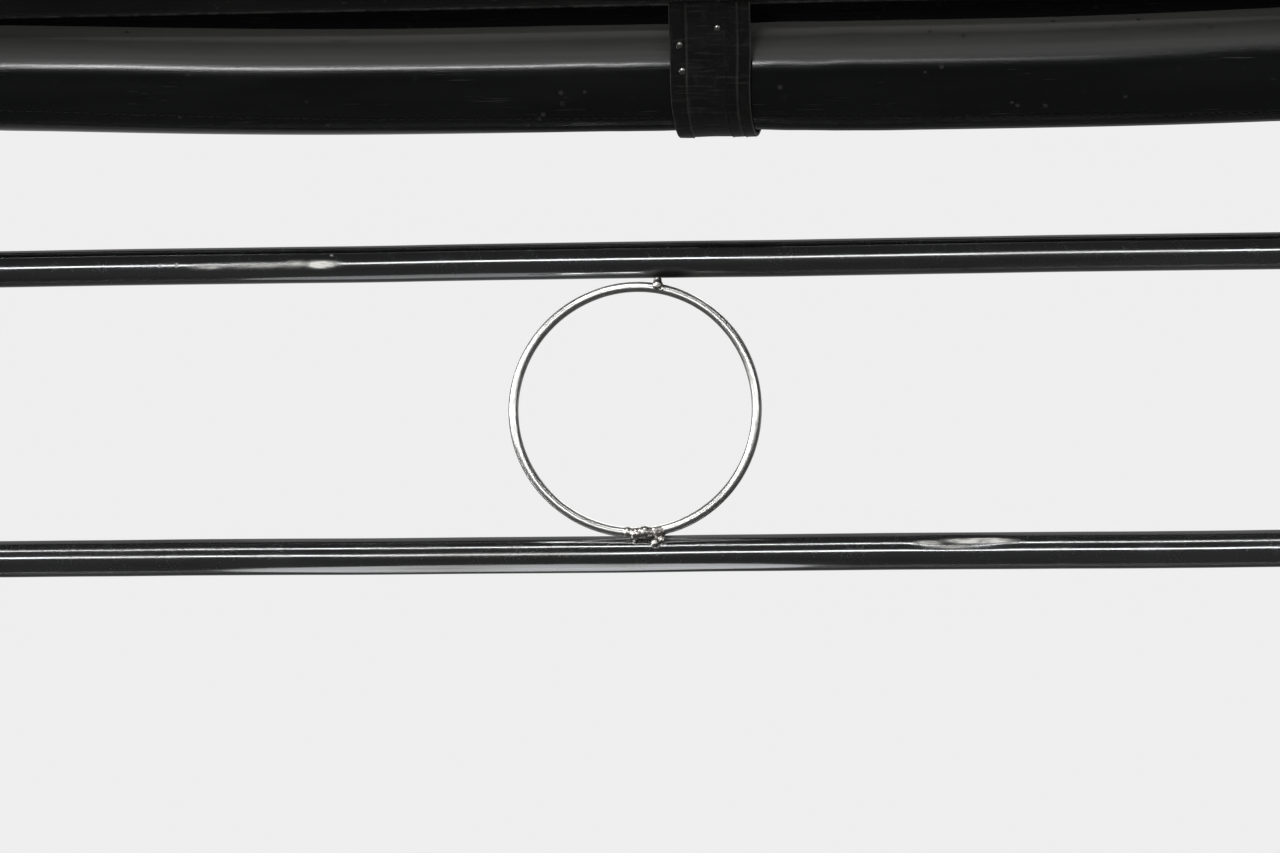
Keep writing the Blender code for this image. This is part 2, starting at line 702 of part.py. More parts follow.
def add_straps(look):
    """The three straps: bands that hang from the shelf in front of the roll and from the header behind it."""
    arc = strap_arc()
    half = STRAP_THICKNESS / 2
    for side, x in (("left", -STRAP_REACH), ("middle", MIDDLE_STRAP_X), ("right", STRAP_REACH)):
        stations = [(arc[0][0], SHELF_Z - SEAT, (-1, 0))]
        stations += [(y, roll_height(x) + rise, outward) for y, rise, outward in arc]
        stations.append((arc[-1][0], BATTEN_Z + BATTEN_HEIGHT, (1, 0)))
        loops = []
        for step, (y, z, outward) in enumerate(stations):
            width = strap_width(step / (len(stations) - 1))
            near = (y - outward[0] * half, z - outward[1] * half)
            far = (y + outward[0] * half, z + outward[1] * half)
            left, right = x - width / 2, x + width / 2
            loops.append([(left, *near), (right, *near), (right, *far), (left, *far)])
        add_solid("strap_" + side, skin(loops), look)


def strap_width(share):
    """The strap's width at a share of its length: full at its ends, drawn in where it bears on the roll."""
    place = share * (len(STRAP_WIDTH_SHARES) - 1)
    index = min(int(place), len(STRAP_WIDTH_SHARES) - 2)
    mixed = between(STRAP_WIDTH_SHARES[index], STRAP_WIDTH_SHARES[index + 1], place - index)
    return between(STRAP_WAIST, STRAP_WIDTH, mixed)


def main():
    clear_scene()
    finish("cutter", (1.0, 0.2, 0.2), 0.5, 0.0)
    polished = finish("polished_stainless", (0.55, 0.55, 0.56), 0.12, 1.0)
    weld = finish("weld_metal", (0.30, 0.29, 0.28), 0.45, 1.0)
    sheet = finish("stainless_sheet", (0.50, 0.50, 0.51), 0.32, 1.0)
    black = finish("black_enamel", (0.012, 0.012, 0.013), 0.35, 0.0)
    grey = finish("grey_primer", (0.14, 0.14, 0.145), 0.55, 0.0)
    lining = finish("lining_vinyl", (0.32, 0.31, 0.29), 0.6, 0.0)
    vinyl = finish("smoke_vinyl", (0.035, 0.036, 0.038), 0.2, 0.0)
    strap = finish("strap_vinyl", (0.028, 0.028, 0.029), 0.4, 0.0)
    batten = finish("mill_aluminium", (0.60, 0.61, 0.62), 0.4, 1.0)
    add_sill(grey, sheet)
    add_posts(sheet, lining)
    add_header(black, lining)
    add_eave(black)
    add_gussets(sheet)
    add_rails(polished, polished)
    add_ring(polished, weld)
    add_curtain(vinyl, batten)
    add_straps(strap)


main()
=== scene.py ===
"""Dresses the jeepney window bay: rails, wire ring, welds, rolled rain curtain, straps and pressed frame."""

import json
import math

import bmesh
import bpy
import numpy as np
from bpy.props import FloatProperty, FloatVectorProperty, IntProperty
from mathutils import Matrix, Vector, noise

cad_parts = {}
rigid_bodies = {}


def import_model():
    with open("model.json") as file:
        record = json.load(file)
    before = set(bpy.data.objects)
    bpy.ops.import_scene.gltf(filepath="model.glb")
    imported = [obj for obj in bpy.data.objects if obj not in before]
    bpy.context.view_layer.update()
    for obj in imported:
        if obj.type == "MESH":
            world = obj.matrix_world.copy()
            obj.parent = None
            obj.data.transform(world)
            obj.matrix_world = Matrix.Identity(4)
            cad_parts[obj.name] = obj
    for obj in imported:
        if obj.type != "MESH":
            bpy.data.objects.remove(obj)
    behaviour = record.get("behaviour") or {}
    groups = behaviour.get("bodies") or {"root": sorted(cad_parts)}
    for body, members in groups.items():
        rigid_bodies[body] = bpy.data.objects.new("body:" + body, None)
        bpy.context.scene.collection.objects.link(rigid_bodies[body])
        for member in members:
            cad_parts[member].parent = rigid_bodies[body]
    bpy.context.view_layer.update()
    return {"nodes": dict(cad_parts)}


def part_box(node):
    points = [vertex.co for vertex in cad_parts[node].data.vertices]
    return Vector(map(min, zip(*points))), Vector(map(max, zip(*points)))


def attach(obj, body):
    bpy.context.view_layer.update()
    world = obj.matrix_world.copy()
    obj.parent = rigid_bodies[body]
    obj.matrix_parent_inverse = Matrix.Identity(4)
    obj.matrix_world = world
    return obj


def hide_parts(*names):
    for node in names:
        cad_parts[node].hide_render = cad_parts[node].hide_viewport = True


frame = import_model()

bl_info = {
    "name": "Jeepney window bay",
    "version": (1, 0, 0),
    "blender": (4, 5, 0),
    "location": "3D View > Sidebar > Window bay",
    "description": "Builds the detailed rails, ring, curtain, straps and frame of a jeepney's window bay",
    "category": "Object",
}

# Places that the frame gives
UPPER_RAIL, LOWER_RAIL, RING_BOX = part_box("rail_upper"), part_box("rail_lower"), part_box("ring")
ROLL_BOX, FLAP_BOX, BATTEN_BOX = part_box("curtain_roll"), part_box("curtain_flap"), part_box("curtain_batten")
STRAP_BOX, SHELF_BOX, FASCIA_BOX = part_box("strap_middle"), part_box("eave_shelf"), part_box("eave_fascia")
GUTTER_BOX, LEDGE_BOX, SILL_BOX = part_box("rain_gutter"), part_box("sill_ledge"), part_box("sill_tube")
POST_BOX, LINING_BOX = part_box("post_right"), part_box("post_lining_right")
HEADER_LINING_BOX, PEDESTAL_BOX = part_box("header_lining"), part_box("pedestal_lower_right")
RAIL_RADIUS = (UPPER_RAIL[1].z - UPPER_RAIL[0].z) / 2
RAIL_Y = (UPPER_RAIL[1].y + UPPER_RAIL[0].y) / 2
RAIL_Z = {
    "lower": (LOWER_RAIL[1].z + LOWER_RAIL[0].z) / 2,
    "upper": (UPPER_RAIL[1].z + UPPER_RAIL[0].z) / 2,
}
RING_Y = (RING_BOX[1].y + RING_BOX[0].y) / 2
ROD_RADIUS = (RING_BOX[1].y - RING_BOX[0].y) / 2
POST_X = (POST_BOX[1].x + POST_BOX[0].x) / 2
FACE_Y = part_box("header_channel")[0].y

SIDES = {"left": -1, "right": 1}
# A gap that keeps pieces from lying in each other
SEAT = 0.0003


def linear(hex_colour):
    """An sRGB hex colour as linear red, green, blue and alpha."""
    shares = [int(hex_colour[i : i + 2], 16) / 255 for i in (1, 3, 5)]
    return tuple(s / 12.92 if s <= 0.04045 else ((s + 0.055) / 1.055) ** 2.4 for s in shares) + (1.0,)


def put(tree, kind, inputs=None, **settings):
    """Adds a node with its settings; each input, named or numbered, gets a value or a link."""
    made = tree.nodes.new(kind)
    for name, value in settings.items():
        setattr(made, name, value)
    for name, value in (inputs or {}).items():
        if isinstance(value, bpy.types.Node):
            value = value.outputs[0]
        if isinstance(value, bpy.types.NodeSocket):
            tree.links.new(value, made.inputs[name])
        else:
            made.inputs[name].default_value = value
    return made


# Materials. Every pattern's size and every height is in millimetres.

MILLIMETRE = 0.001
MATH, MIX, RANGE = "ShaderNodeMath", "ShaderNodeMix", "ShaderNodeMapRange"
EASED = {"interpolation_type": "SMOOTHSTEP"}
METAL = {"Metallic": 1.0}


class Finish:
    """A material in the making: its tree, its shader and the layers that lie over its base."""

    def __init__(self, name, constants):
        self.made = bpy.data.materials.new(name)
        self.made.use_nodes = True
        self.tree = self.made.node_tree
        self.shader = self.tree.nodes["Principled BSDF"]
        for socket, value in constants.items():
            self.shader.inputs[socket].default_value = value
        self.place = put(self.tree, "ShaderNodeTexCoord").outputs["Object"]
        self.layers = []

    def pattern(self, texture, size, low, high, place=None, turn=0.0, shift=0.0, detail=None, **settings):
        """A texture of a size along x, y and z, as a mask that rises from 0 at low to 1 at high."""
        source = self.place if place is None else place
        turned = put(self.tree, "ShaderNodeMapping", {"Vector": source, "Rotation": (0.0, turn, 0.0)})
        per_metre = tuple(1 / (side * MILLIMETRE) for side in size)
        spread = {"Vector": turned, "Scale": per_metre, "Location": (shift,) * 3}
        inputs = {"Vector": put(self.tree, "ShaderNodeMapping", spread), "Scale": 1.0}
        if detail is not None:
            inputs |= {"Detail": detail, "Roughness": 0.6}
        drawn = put(self.tree, texture, inputs, **settings)
        return put(self.tree, RANGE, {0: drawn, 1: low, 2: high}, **EASED)

    def patches(self, size, seed, low, high, detail=4.0, turn=0.0, place=None):
        """Cloudy patches."""
        return self.pattern("ShaderNodeTexNoise", size, low, high, place, turn, seed * 7.31, detail)

    def speckles(self, spacing, seed, reach):
        """Small round spots on a spacing, each as far across as its reach, a share of that spacing."""
        return self.pattern("ShaderNodeTexVoronoi", (spacing,) * 3, reach, reach * 0.6, shift=seed * 3.7)

    def pebbles(self, size, reach, place=None):
        """Rounded grains that lie side by side, high in their middles."""
        return self.pattern("ShaderNodeTexVoronoi", size, 0.0, reach, place, feature="DISTANCE_TO_EDGE")

    def mask(self, given):
        """A mask: a node or socket, the name of one that the piece carries, or where two masks overlap."""
        if isinstance(given, str):
            return put(self.tree, "ShaderNodeAttribute", attribute_name=given).outputs["Fac"]
        if isinstance(given, tuple):
            first, second = map(self.mask, given)
            return put(self.tree, MATH, {0: first, 1: second}, operation="MULTIPLY")
        return given

    def facing(self):
        """The parts of the surface's own direction."""
        normal = put(self.tree, "ShaderNodeNewGeometry").outputs["Normal"]
        return put(self.tree, "ShaderNodeSeparateXYZ", {0: normal}).outputs

    def lay(self, mask, colour=None, rough=None, height=None):
        """Lays a colour, a roughness and a height over what lies below, where a mask says."""
        self.layers.append((self.mask(mask), colour, rough, height))

    def done(self, colour, rough):
        """Links the base and its layers to the shader; returns the material."""
        total = None
        for mask, over, rougher, height in self.layers:
            if over:
                mixed = put(self.tree, MIX, {0: mask, 6: colour, 7: linear(over)}, data_type="RGBA")
                colour = mixed.outputs[2]
            if rougher:
                rough = put(self.tree, MIX, {0: mask, 2: rough, 3: rougher}, data_type="FLOAT").outputs[0]
            if height:
                part = put(self.tree, MATH, {0: mask, 1: height * MILLIMETRE}, operation="MULTIPLY")
                total = part if total is None else put(self.tree, MATH, {0: total, 1: part})
        bump = put(self.tree, "ShaderNodeBump", {"Height": total, "Distance": 1.0, "Strength": 1.0})
        for socket, source in (("Base Color", colour), ("Roughness", rough), ("Normal", bump.outputs[0])):
            self.tree.links.new(source, self.shader.inputs[socket])
        return self.made


def polished_stainless(name, colours, scuffed):
    """Type 304 stainless tube, buffed lengthwise: clear reflections drawn out by fine lines, handled, dusty.

    Scuffed rails add torn metal where they were knocked, and straw and blue-black from the welds' heat.
    """
    it = Finish(name, METAL)
    it.lay(it.patches((55, 0.35, 0.35), 1, 0.35, 0.68), None, 0.135, 0.0012)  # buffing lines
    it.lay(it.patches((120, 30, 6), 3, 0.40, 0.75), "#8F8F8C", 0.22)  # dusty film
    it.lay(it.patches((26, 9, 7), 2, 0.46, 0.72), None, 0.19, 0.004)  # smears of hands
    hairlines = it.patches((7, 0.12, 0.12), 6, 0.63, 0.70, 2.0, 0.5), it.patches((9, 9, 9), 7, 0.5, 0.6)
    it.lay(hairlines, None, 0.38, -0.004)
    nicks = it.speckles(4.2, 4, 0.09), it.patches((18, 8, 8), 5, 0.50, 0.60)
    it.lay(nicks, "#5A5856", 0.45, -0.03)
    if scuffed:
        scuff, soot = it.mask("scuff"), it.mask("soot")
        torn = it.patches((7.0, 1.5, 1.5), 8, 0.33, 0.58, 3.0)
        dull = put(it.tree, RANGE, {0: scuff, 1: 0.45, 2: 0.9, 3: 1.0, 4: 0.25}, **EASED)
        it.tree.links.new(dull.outputs[0], it.shader.inputs["Metallic"])
        deep = put(it.tree, RANGE, {0: scuff, 1: 0.42, 2: 0.8})
        it.lay(scuff, "#8F8E8B", 0.44)
        it.lay((scuff, it.patches((9.0, 0.35, 0.35), 9, 0.35, 0.65, 2.0)), "#B4B3AE", None, -0.005)  # raked
        it.lay((deep, torn), "#E9E8E3")
        it.lay((scuff, torn), None, 0.50, 0.009)
        it.lay("heat", "#4F463C", 0.30)
        it.lay(soot, "#0B0A0A", 0.72)
        it.lay((soot, torn), height=0.02)
    return it.done(colours.rail, 0.10)


def drawn_wire(name, colours):
    """Drawn steel wire, bent by hand: satin, with lines round the ring, small flats and a dull grey film."""
    it = Finish(name, METAL)
    along = put(it.tree, "ShaderNodeUVMap", uv_map="run").outputs[0]
    it.lay(it.patches((14, 0.22, 1), 1, 0.34, 0.68, place=along), None, 0.31, 0.0006)  # draw lines
    it.lay(it.patches((3.1, 1.2, 1), 2, 0.52, 0.66, place=along), None, 0.33, -0.0010)  # tool marks
    it.lay(it.patches((9, 3.5, 1), 3, 0.50, 0.70, place=along), "#C4C3C0", 0.34, 0.0014)  # film of hands
    it.lay(it.speckles(2.6, 4, 0.10), "#8A8782", 0.45, -0.003)  # pits
    it.lay("heat", "#4A4138", 0.45)
    return it.done(colours.wire, 0.27)


def weld_metal(name, colours):
    """Weld metal as it cooled: bright and glassy where it ran, with ripples and pores, sooty in its roots."""
    it = Finish(name, METAL)
    it.lay(it.patches((0.9, 1.6, 1.6), 1, 0.35, 0.65), None, 0.30, 0.010)  # ripples
    it.lay(it.patches((1.5, 1.1, 1.1), 2, 0.50, 0.62), "#8D8A85", 0.36, 0.008)  # slag
    it.lay(it.speckles(1.7, 3, 0.13), "#3A3734", 0.55, -0.03)  # pores
    it.lay("soot", "#121010", 0.62)
    return it.done(colours.weld, 0.25)


def brushed_sheet(name, colours, fine, broad):
    """Stainless sheet, brushed along its grain: soft drawn reflections, water marks, tea stain, worn edges."""
    it = Finish(name, METAL)
    it.lay(it.patches(fine, 1, 0.30, 0.72, 3.0), None, 0.34, 0.0022)
    it.lay(it.patches(broad, 2, 0.35, 0.70), "#A9A9A8", None, 0.003)
    it.lay(it.patches((34, 22, 46), 3, 0.50, 0.74), "#8E8D8A", 0.42)  # water marks
    scratch = it.patches((0.16, 0.16, 11), 4, 0.64, 0.70, 2.0, 0.9), it.patches((24, 24, 24), 5, 0.5, 0.6)
    it.lay(scratch, None, 0.22, -0.008)
    tea = it.patches((5, 5, 9), 6, 0.56, 0.70), it.patches((60, 40, 60), 7, 0.48, 0.62)
    it.lay(tea, "#77634C", 0.62, 0.006)
    it.lay(("edge", it.patches((6, 3, 6), 8, 0.42, 0.60)), "#C9C9C7", 0.36)
    return it.done(colours.sheet, 0.30)


def black_enamel(name, colours):
    """Enamel brushed over steel, its black painted shade from under the eave: glossy with orange peel, road
    dust on top faces and chipped edges.
    """
    it = Finish(name, {"IOR": 1.50, "Coat Weight": 0.35, "Coat Roughness": 0.12})
    it.lay(it.patches((2.2, 2.2, 2.2), 1, 0.30, 0.70), height=0.006)  # orange peel
    it.lay(it.patches((60, 1.3, 1.3), 2, 0.35, 0.70), height=0.006)  # brush strokes
    it.lay(it.patches((70, 30, 30), 3, 0.42, 0.72), "#1A1A19", 0.38)  # haze
    shelf = put(it.tree, RANGE, {0: it.facing()["Z"], 1: 0.35, 2: 0.95})
    it.lay((shelf, it.patches((90, 26, 26), 4, 0.05, 0.80)), "#45413B", 0.72, 0.008)  # dust
    it.lay(("edge", it.patches((5, 2, 2), 5, 0.66, 0.70)), "#4A4846", 0.50, -0.05)  # chips
    it.lay(("edge", it.patches((12, 6, 6), 6, 0.68, 0.76)), "#3A231A", 0.85, 0.03)  # rust
    # The near-black base is painted shade; the dust, chips and rust laid over it are real wear
    return it.done(colours.enamel, 0.28)


def grey_primer(name, colours):
    """Grey oxide primer sprayed on a mill tube: flat and slightly grainy, with rust that blooms through."""
    it = Finish(name, {"IOR": 1.48})
    it.lay(it.patches((0.7, 0.7, 0.7), 1, 0.30, 0.70), height=0.02)  # spray
    it.lay(it.patches((55, 20, 20), 2, 0.40, 0.70), "#5E5F61", 0.66)
    scrape = it.patches((22, 0.5, 0.5), 5, 0.62, 0.68, 2.0, 0.2), it.patches((40, 20, 20), 6, 0.5, 0.6)
    it.lay(scrape, "#8B8B89", 0.42, -0.03)
    it.lay(("edge", it.patches((7, 5, 5), 7, 0.48, 0.60)), "#87847F", 0.45, -0.03)
    bloom = it.patches((16, 8, 8), 3, 0.57, 0.68), it.patches((2.0, 2.0, 2.0), 4, 0.35, 0.55)
    it.lay(bloom, "#6A3F26", 0.88, 0.06)
    return it.done(colours.primer, 0.58)


def lining_vinyl(name, colours):
    """Leathercloth over hardboard: pebbled grain of about 1.2 mm, pale on rubbed edges, grimy in the grain."""
    it = Finish(name, {"IOR": 1.47})
    grain = it.pebbles((1.25,) * 3, 0.28)
    it.lay(grain, height=0.14)
    it.lay(it.patches((50, 50, 35), 1, 0.42, 0.74), "#8C8578", 0.66, 0.02)  # grime
    it.lay(it.patches((90, 40, 60), 2, 0.50, 0.72), "#827B6E", 0.44)  # where hands pass
    it.lay(put(it.tree, MATH, {0: 1.0, 1: grain}, operation="SUBTRACT"), "#665F55")
    it.lay(("edge", it.patches((12, 6, 12), 3, 0.40, 0.62)), "#ADA698", 0.5)
    return it.done(colours.lining, 0.55)


def smoke_vinyl(name, colours):
    """Smoke-tinted PVC film: glossy and dark, with roll marks, dried rain, dust and painted skylight on top,
    and pale cut ends.
    """
    it = Finish(name, {"IOR": 1.54, "Coat Weight": 0.25, "Coat Roughness": 0.10})
    ways = it.facing()
    it.lay(it.patches((120, 1.2, 1.2), 1, 0.34, 0.70), None, 0.18, 0.011)  # roll marks
    it.lay(it.patches((40, 0.30, 0.30), 2, 0.36, 0.68), height=0.0020)
    it.lay(it.patches((110, 12, 12), 3, 0.38, 0.72), "#131415", 0.20, 0.012)  # film
    # Upward faces get dust that is also painted skylight: lighter above the highlight's line, as the sky would
    # light it
    top = put(it.tree, RANGE, {0: ways["Z"], 1: 0.20, 2: 0.46}, **EASED)
    dust = it.mask((top, it.patches((46, 5, 5), 6, -0.45, 0.60)))
    it.lay(dust, "#484846", 0.80)
    # Painted light: a paler crown along the very top of the roll, where the lamps leave it dark
    it.lay((put(it.tree, RANGE, {0: ways["Z"], 1: 0.70, 2: 0.96}), dust), "#989793")
    it.lay((it.speckles(8.5, 4, 0.16), it.patches((50, 20, 20), 5, 0.50, 0.62)), "#2E2E2D", 0.34, 0.003)  # rain
    rubs = it.patches((22, 0.5, 0.5), 7, 0.61, 0.68, 3.0), it.patches((45, 14, 14), 8, 0.48, 0.60)
    it.lay(rubs, "#2C2C2B", 0.36, -0.004)
    endward = put(it.tree, MATH, {0: ways["X"]}, operation="ABSOLUTE")
    it.lay(put(it.tree, RANGE, {0: endward, 1: 0.85, 2: 0.95}), "#5A5B5C", 0.6)
    return it.done(colours.curtain, 0.15)


def strap_vinyl(name, colours):
    """Black coated strap, folded and sewn: fine dusty cross grain, pale rubbed edges and creases."""
    it = Finish(name, {"IOR": 1.50})
    along = put(it.tree, "ShaderNodeUVMap", uv_map="run").outputs[0]
    it.lay(it.pebbles((0.85, 0.85, 1000.0), 0.30, along), height=0.03)
    it.lay(it.patches((22, 18, 1), 3, 0.42, 0.72, place=along), "#1E1D1D", 0.56)  # dust
    it.lay(it.patches((2.2, 7, 1), 2, 0.55, 0.70, place=along), "#232222", 0.48, 0.02)  # crazing
    it.lay(it.patches((14, 1.0, 1), 1, 0.56, 0.66, place=along), "#2B2A29", None, 0.04)  # creases
    it.lay("edge", "#5E5D5B", 0.40)
    return it.done(colours.strap, 0.40)


def mill_aluminium(name, colours):
    """Aluminium flat bar as extruded: grey with die lines, dull oxide and a few bright dings."""
    it = Finish(name, METAL)
    it.lay(it.patches((110, 0.3, 0.3), 1, 0.32, 0.70), None, 0.42, 0.008)  # die lines
    it.lay(it.patches((14, 6, 6), 2, 0.48, 0.70), "#9C9D9E", 0.58, 0.008)  # oxide
    it.lay((it.speckles(7, 3, 0.12), it.patches((40, 20, 20), 4, 0.45, 0.6)), "#DADBDC", 0.25, -0.06)  # dings
    it.lay(("edge", it.patches((6, 3, 3), 5, 0.4, 0.6)), "#E2E3E4", 0.28)
    return it.done(colours.aluminium, 0.34)


def plated_steel(name, colours):
    """Zinc-plated screws and nickelled rivets: bright, with a milky bloom and rust starting in recesses."""
    it = Finish(name, METAL)
    it.lay(it.patches((1.6, 1.6, 1.6), 1, 0.45, 0.68), "#A3A29C", 0.42, 0.01)
    rust = it.patches((70, 40, 70), 2, 0.50, 0.60), it.patches((1.1, 1.1, 1.1), 3, 0.50, 0.62)
    it.lay(rust, "#6B4228", 0.8, 0.03)
    return it.done(colours.plated, 0.24)


def waxed_thread(name, colours):
    """Bonded nylon thread of 0.5 mm: three plies that twist, matt, gone grey with dust."""
    it = Finish(name, {"IOR": 1.53})
    it.lay(it.patches((0.5, 0.5, 0.2), 1, 0.35, 0.65, 2.0, 0.7), height=0.05)  # plies
    it.lay(it.patches((8, 8, 5), 2, 0.40, 0.66), "#1F1E1D", 0.75)
    return it.done(colours.thread, 0.50)


# Each finish's maker, with what it is told: the sheet's fine and broad grain, along the vehicle or upright
MAKERS = {maker.__name__: (maker,) for maker in (
    drawn_wire, weld_metal, black_enamel, grey_primer, lining_vinyl, smoke_vinyl, strap_vinyl, mill_aluminium,
    plated_steel, waxed_thread,
)} | {
    "polished_stainless": (polished_stainless, False),
    "knocked_stainless": (polished_stainless, True),
    "brushed_sheet_along": (brushed_sheet, (38, 0.22, 0.22), (90, 1.1, 1.1)),
    "brushed_sheet_upright": (brushed_sheet, (0.22, 0.22, 38), (1.1, 1.1, 90)),
}
FINISHES = {}


def finish_named(name):
    """A finish, made once from the scene's colours."""
    if name not in FINISHES:
        maker, *told = MAKERS[name]
        FINISHES[name] = maker(name, bpy.context.scene.bay_colours, *told)
    return FINISHES[name]


# Meshes

SMOOTH_UNDER = math.radians(38)


def smoothstep(share):
    """Eases a share from 0 to 1."""
    share = np.clip(share, 0.0, 1.0)
    return share * share * (3 - 2 * share)


def bell(place, middle, half):
    """A hump that is 1 at its middle and 0 beyond half its width."""
    return smoothstep(1 - np.abs(np.asarray(place, float) - middle) / half)


def shown(name, data):
    """An object in the scene."""
    made = bpy.data.objects.new(name, data)
    bpy.context.scene.collection.objects.link(made)
    return made


def outward_mesh(name, vertices, faces):
    """A mesh from points and faces, which are turned outwards."""
    mesh = bpy.data.meshes.new(name)
    mesh.from_pydata([tuple(v) for v in vertices], [], faces)
    bm = bmesh.new()
    bm.from_mesh(mesh)
    bmesh.ops.recalc_face_normals(bm, faces=bm.faces)
    bm.to_mesh(mesh)
    bm.free()
    return mesh


def settle_piece(name, mesh, look, sharp=SMOOTH_UNDER):
    """Puts a finished mesh in the scene with its material, on the bay's one body."""
    mesh.shade_smooth()
    mesh.set_sharp_from_angle(angle=sharp)
    mesh.materials.clear()
    mesh.materials.append(look)
    piece = shown(name, mesh)
    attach(piece, "root")
    return piece


def new_piece(name, vertices, faces, look, sharp=SMOOTH_UNDER):
    """A piece from points and faces, its place in its mesh."""
    return settle_piece(name, outward_mesh(name, vertices, faces), look, sharp)


def tube_faces(rings, sides, cyclic=False, caps=True):
    """Quads through rings of as many points each, capped at both ends unless the rings close on themselves."""
    faces = []
    for ring in range(rings if cyclic else rings - 1):
        here, there = ring * sides, (ring + 1) % rings * sides
        for side in range(sides):
            after = (side + 1) % sides
            faces.append((here + side, here + after, there + after, there + side))
    if caps and not cyclic:
        faces += [tuple(range(sides)), tuple(range((rings - 1) * sides, rings * sides))]
    return faces


def give_mask(piece, name, values):
    """Stores a mask on a piece or mesh, one value for each of its points."""
    held = getattr(piece, "data", piece).attributes.new(name, "FLOAT", "POINT")
    held.data.foreach_set("value", np.asarray(values, np.float32).ravel())


def give_run(piece, run):
    """Stores a UV map in metres along and across a piece, one pair for each of its points."""
    layer = piece.data.uv_layers.new(name="run")
    corners = np.empty(len(piece.data.loops), np.int32)
    piece.data.loops.foreach_get("vertex_index", corners)
    layer.data.foreach_set("uv", np.asarray(run, np.float32)[corners].ravel())


def sway(along, seed, size, height, turns=3):
    """A smooth wander along a length, the same each run."""
    total = np.zeros(len(along))
    for turn in range(turns):
        for i, place in enumerate(along):
            total[i] += noise.noise((place / size * 2**turn, seed * 9.17, turn * 3.3)) * height / 2**turn
    return total


def baked(mesh, dress):
    """What an object's modifiers make of a mesh, as a plain mesh; a function dresses that object with them."""
    carrier = shown("carrier", mesh)
    dress(carrier)
    graph = bpy.context.evaluated_depsgraph_get()
    graph.update()
    made = bpy.data.meshes.new_from_object(carrier.evaluated_get(graph), depsgraph=graph)
    bpy.data.objects.remove(carrier)
    return made


MERGED_UNDER = 0.00001
FLAT_UNDER, ROUNDED_OVER = math.radians(0.6), math.radians(50)
# Paint and polish wear on edges that are sharper than this, so far in from them, on faces of so many such rims
WORN_OVER, WORN_RIM, RIMS_WIDE = math.radians(14), 0.0018, 2.5


def dressed_copy(node, look, bevel, long_step, wander, seed):
    """A CAD node's own shape, finished: welded, its edges rounded, cut along its length and slightly wavy.

    The wave runs along X and moves points across the sheet, as rolled and folded sheet always is.
    """
    bm = bmesh.new()
    bm.from_mesh(frame["nodes"][node].data)
    bmesh.ops.remove_doubles(bm, verts=bm.verts, dist=MERGED_UNDER)
    bmesh.ops.dissolve_limit(bm, angle_limit=FLAT_UNDER, verts=bm.verts, edges=bm.edges)
    if bevel:
        joined = [e for e in bm.edges if len(e.link_faces) == 2]
        hard = [e for e in joined if abs(e.calc_face_angle_signed(0.0)) > ROUNDED_OVER]
        bmesh.ops.bevel(bm, geom=hard, offset=bevel, segments=2, profile=0.6, affect="EDGES",
                        clamp_overlap=True)
    layer = bm.verts.layers.float.new("edge")
    for edge in bm.edges:
        if len(edge.link_faces) == 2 and edge.calc_face_angle_signed(0.0) > WORN_OVER:
            for vert in edge.verts:
                vert[layer] = 1.0
    wide = [f for f in bm.faces if f.calc_area() > WORN_RIM * RIMS_WIDE * f.calc_perimeter() / 2]
    outer = set(bm.verts)
    bmesh.ops.inset_individual(bm, faces=wide, thickness=WORN_RIM, use_even_offset=True)
    for vert in bm.verts:
        if vert not in outer:
            vert[layer] = 0.0
    if long_step:
        low, high = min(v.co.x for v in bm.verts), max(v.co.x for v in bm.verts)
        for place in np.arange(low + long_step, high - long_step / 2, long_step):
            cutting = bm.verts[:] + bm.edges[:] + bm.faces[:]
            bmesh.ops.bisect_plane(bm, geom=cutting, plane_co=(place, 0, 0), plane_no=(1, 0, 0))
    if wander:
        for vert in bm.verts:
            vert.co.y += wander * noise.noise((vert.co.x * 9, seed * 5.3, vert.co.z * 6))
    bmesh.ops.recalc_face_normals(bm, faces=bm.faces)
    mesh = bpy.data.meshes.new("dressed_" + node)
    bm.to_mesh(mesh)
    bm.free()
    piece = settle_piece("dressed_" + node, mesh, look)
    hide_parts(node)
    return piece


# Trees of Geometry Nodes

HELD = "GeometryNodeInputNamedAttribute"


def new_tree(name, numbers, objects=()):
    """A modifier's tree with a geometry in and out, and named inputs for its sizes, template and material."""
    tree = bpy.data.node_groups.new(name, "GeometryNodeTree")
    tree.interface.new_socket("Geometry", in_out="INPUT", socket_type="NodeSocketGeometry")
    for title, value in numbers.items():
        kind = "NodeSocketInt" if isinstance(value, int) else "NodeSocketFloat"
        tree.interface.new_socket(title, in_out="INPUT", socket_type=kind).default_value = value
    for title in objects:
        tree.interface.new_socket(title, in_out="INPUT", socket_type="NodeSocketObject")
    tree.interface.new_socket("Finish", in_out="INPUT", socket_type="NodeSocketMaterial")
    tree.interface.new_socket("Geometry", in_out="OUTPUT", socket_type="NodeSocketGeometry")
    return tree, {socket.name: socket for socket in put(tree, "NodeGroupInput").outputs}


def end_tree(tree, given, made):
    """Ends a tree in real geometry with its material."""
    real = put(tree, "GeometryNodeRealizeInstances", {0: made})
    coated = put(tree, "GeometryNodeSetMaterial", {"Geometry": real, "Material": given["Finish"]})
    put(tree, "NodeGroupOutput", {0: coated})
    return tree


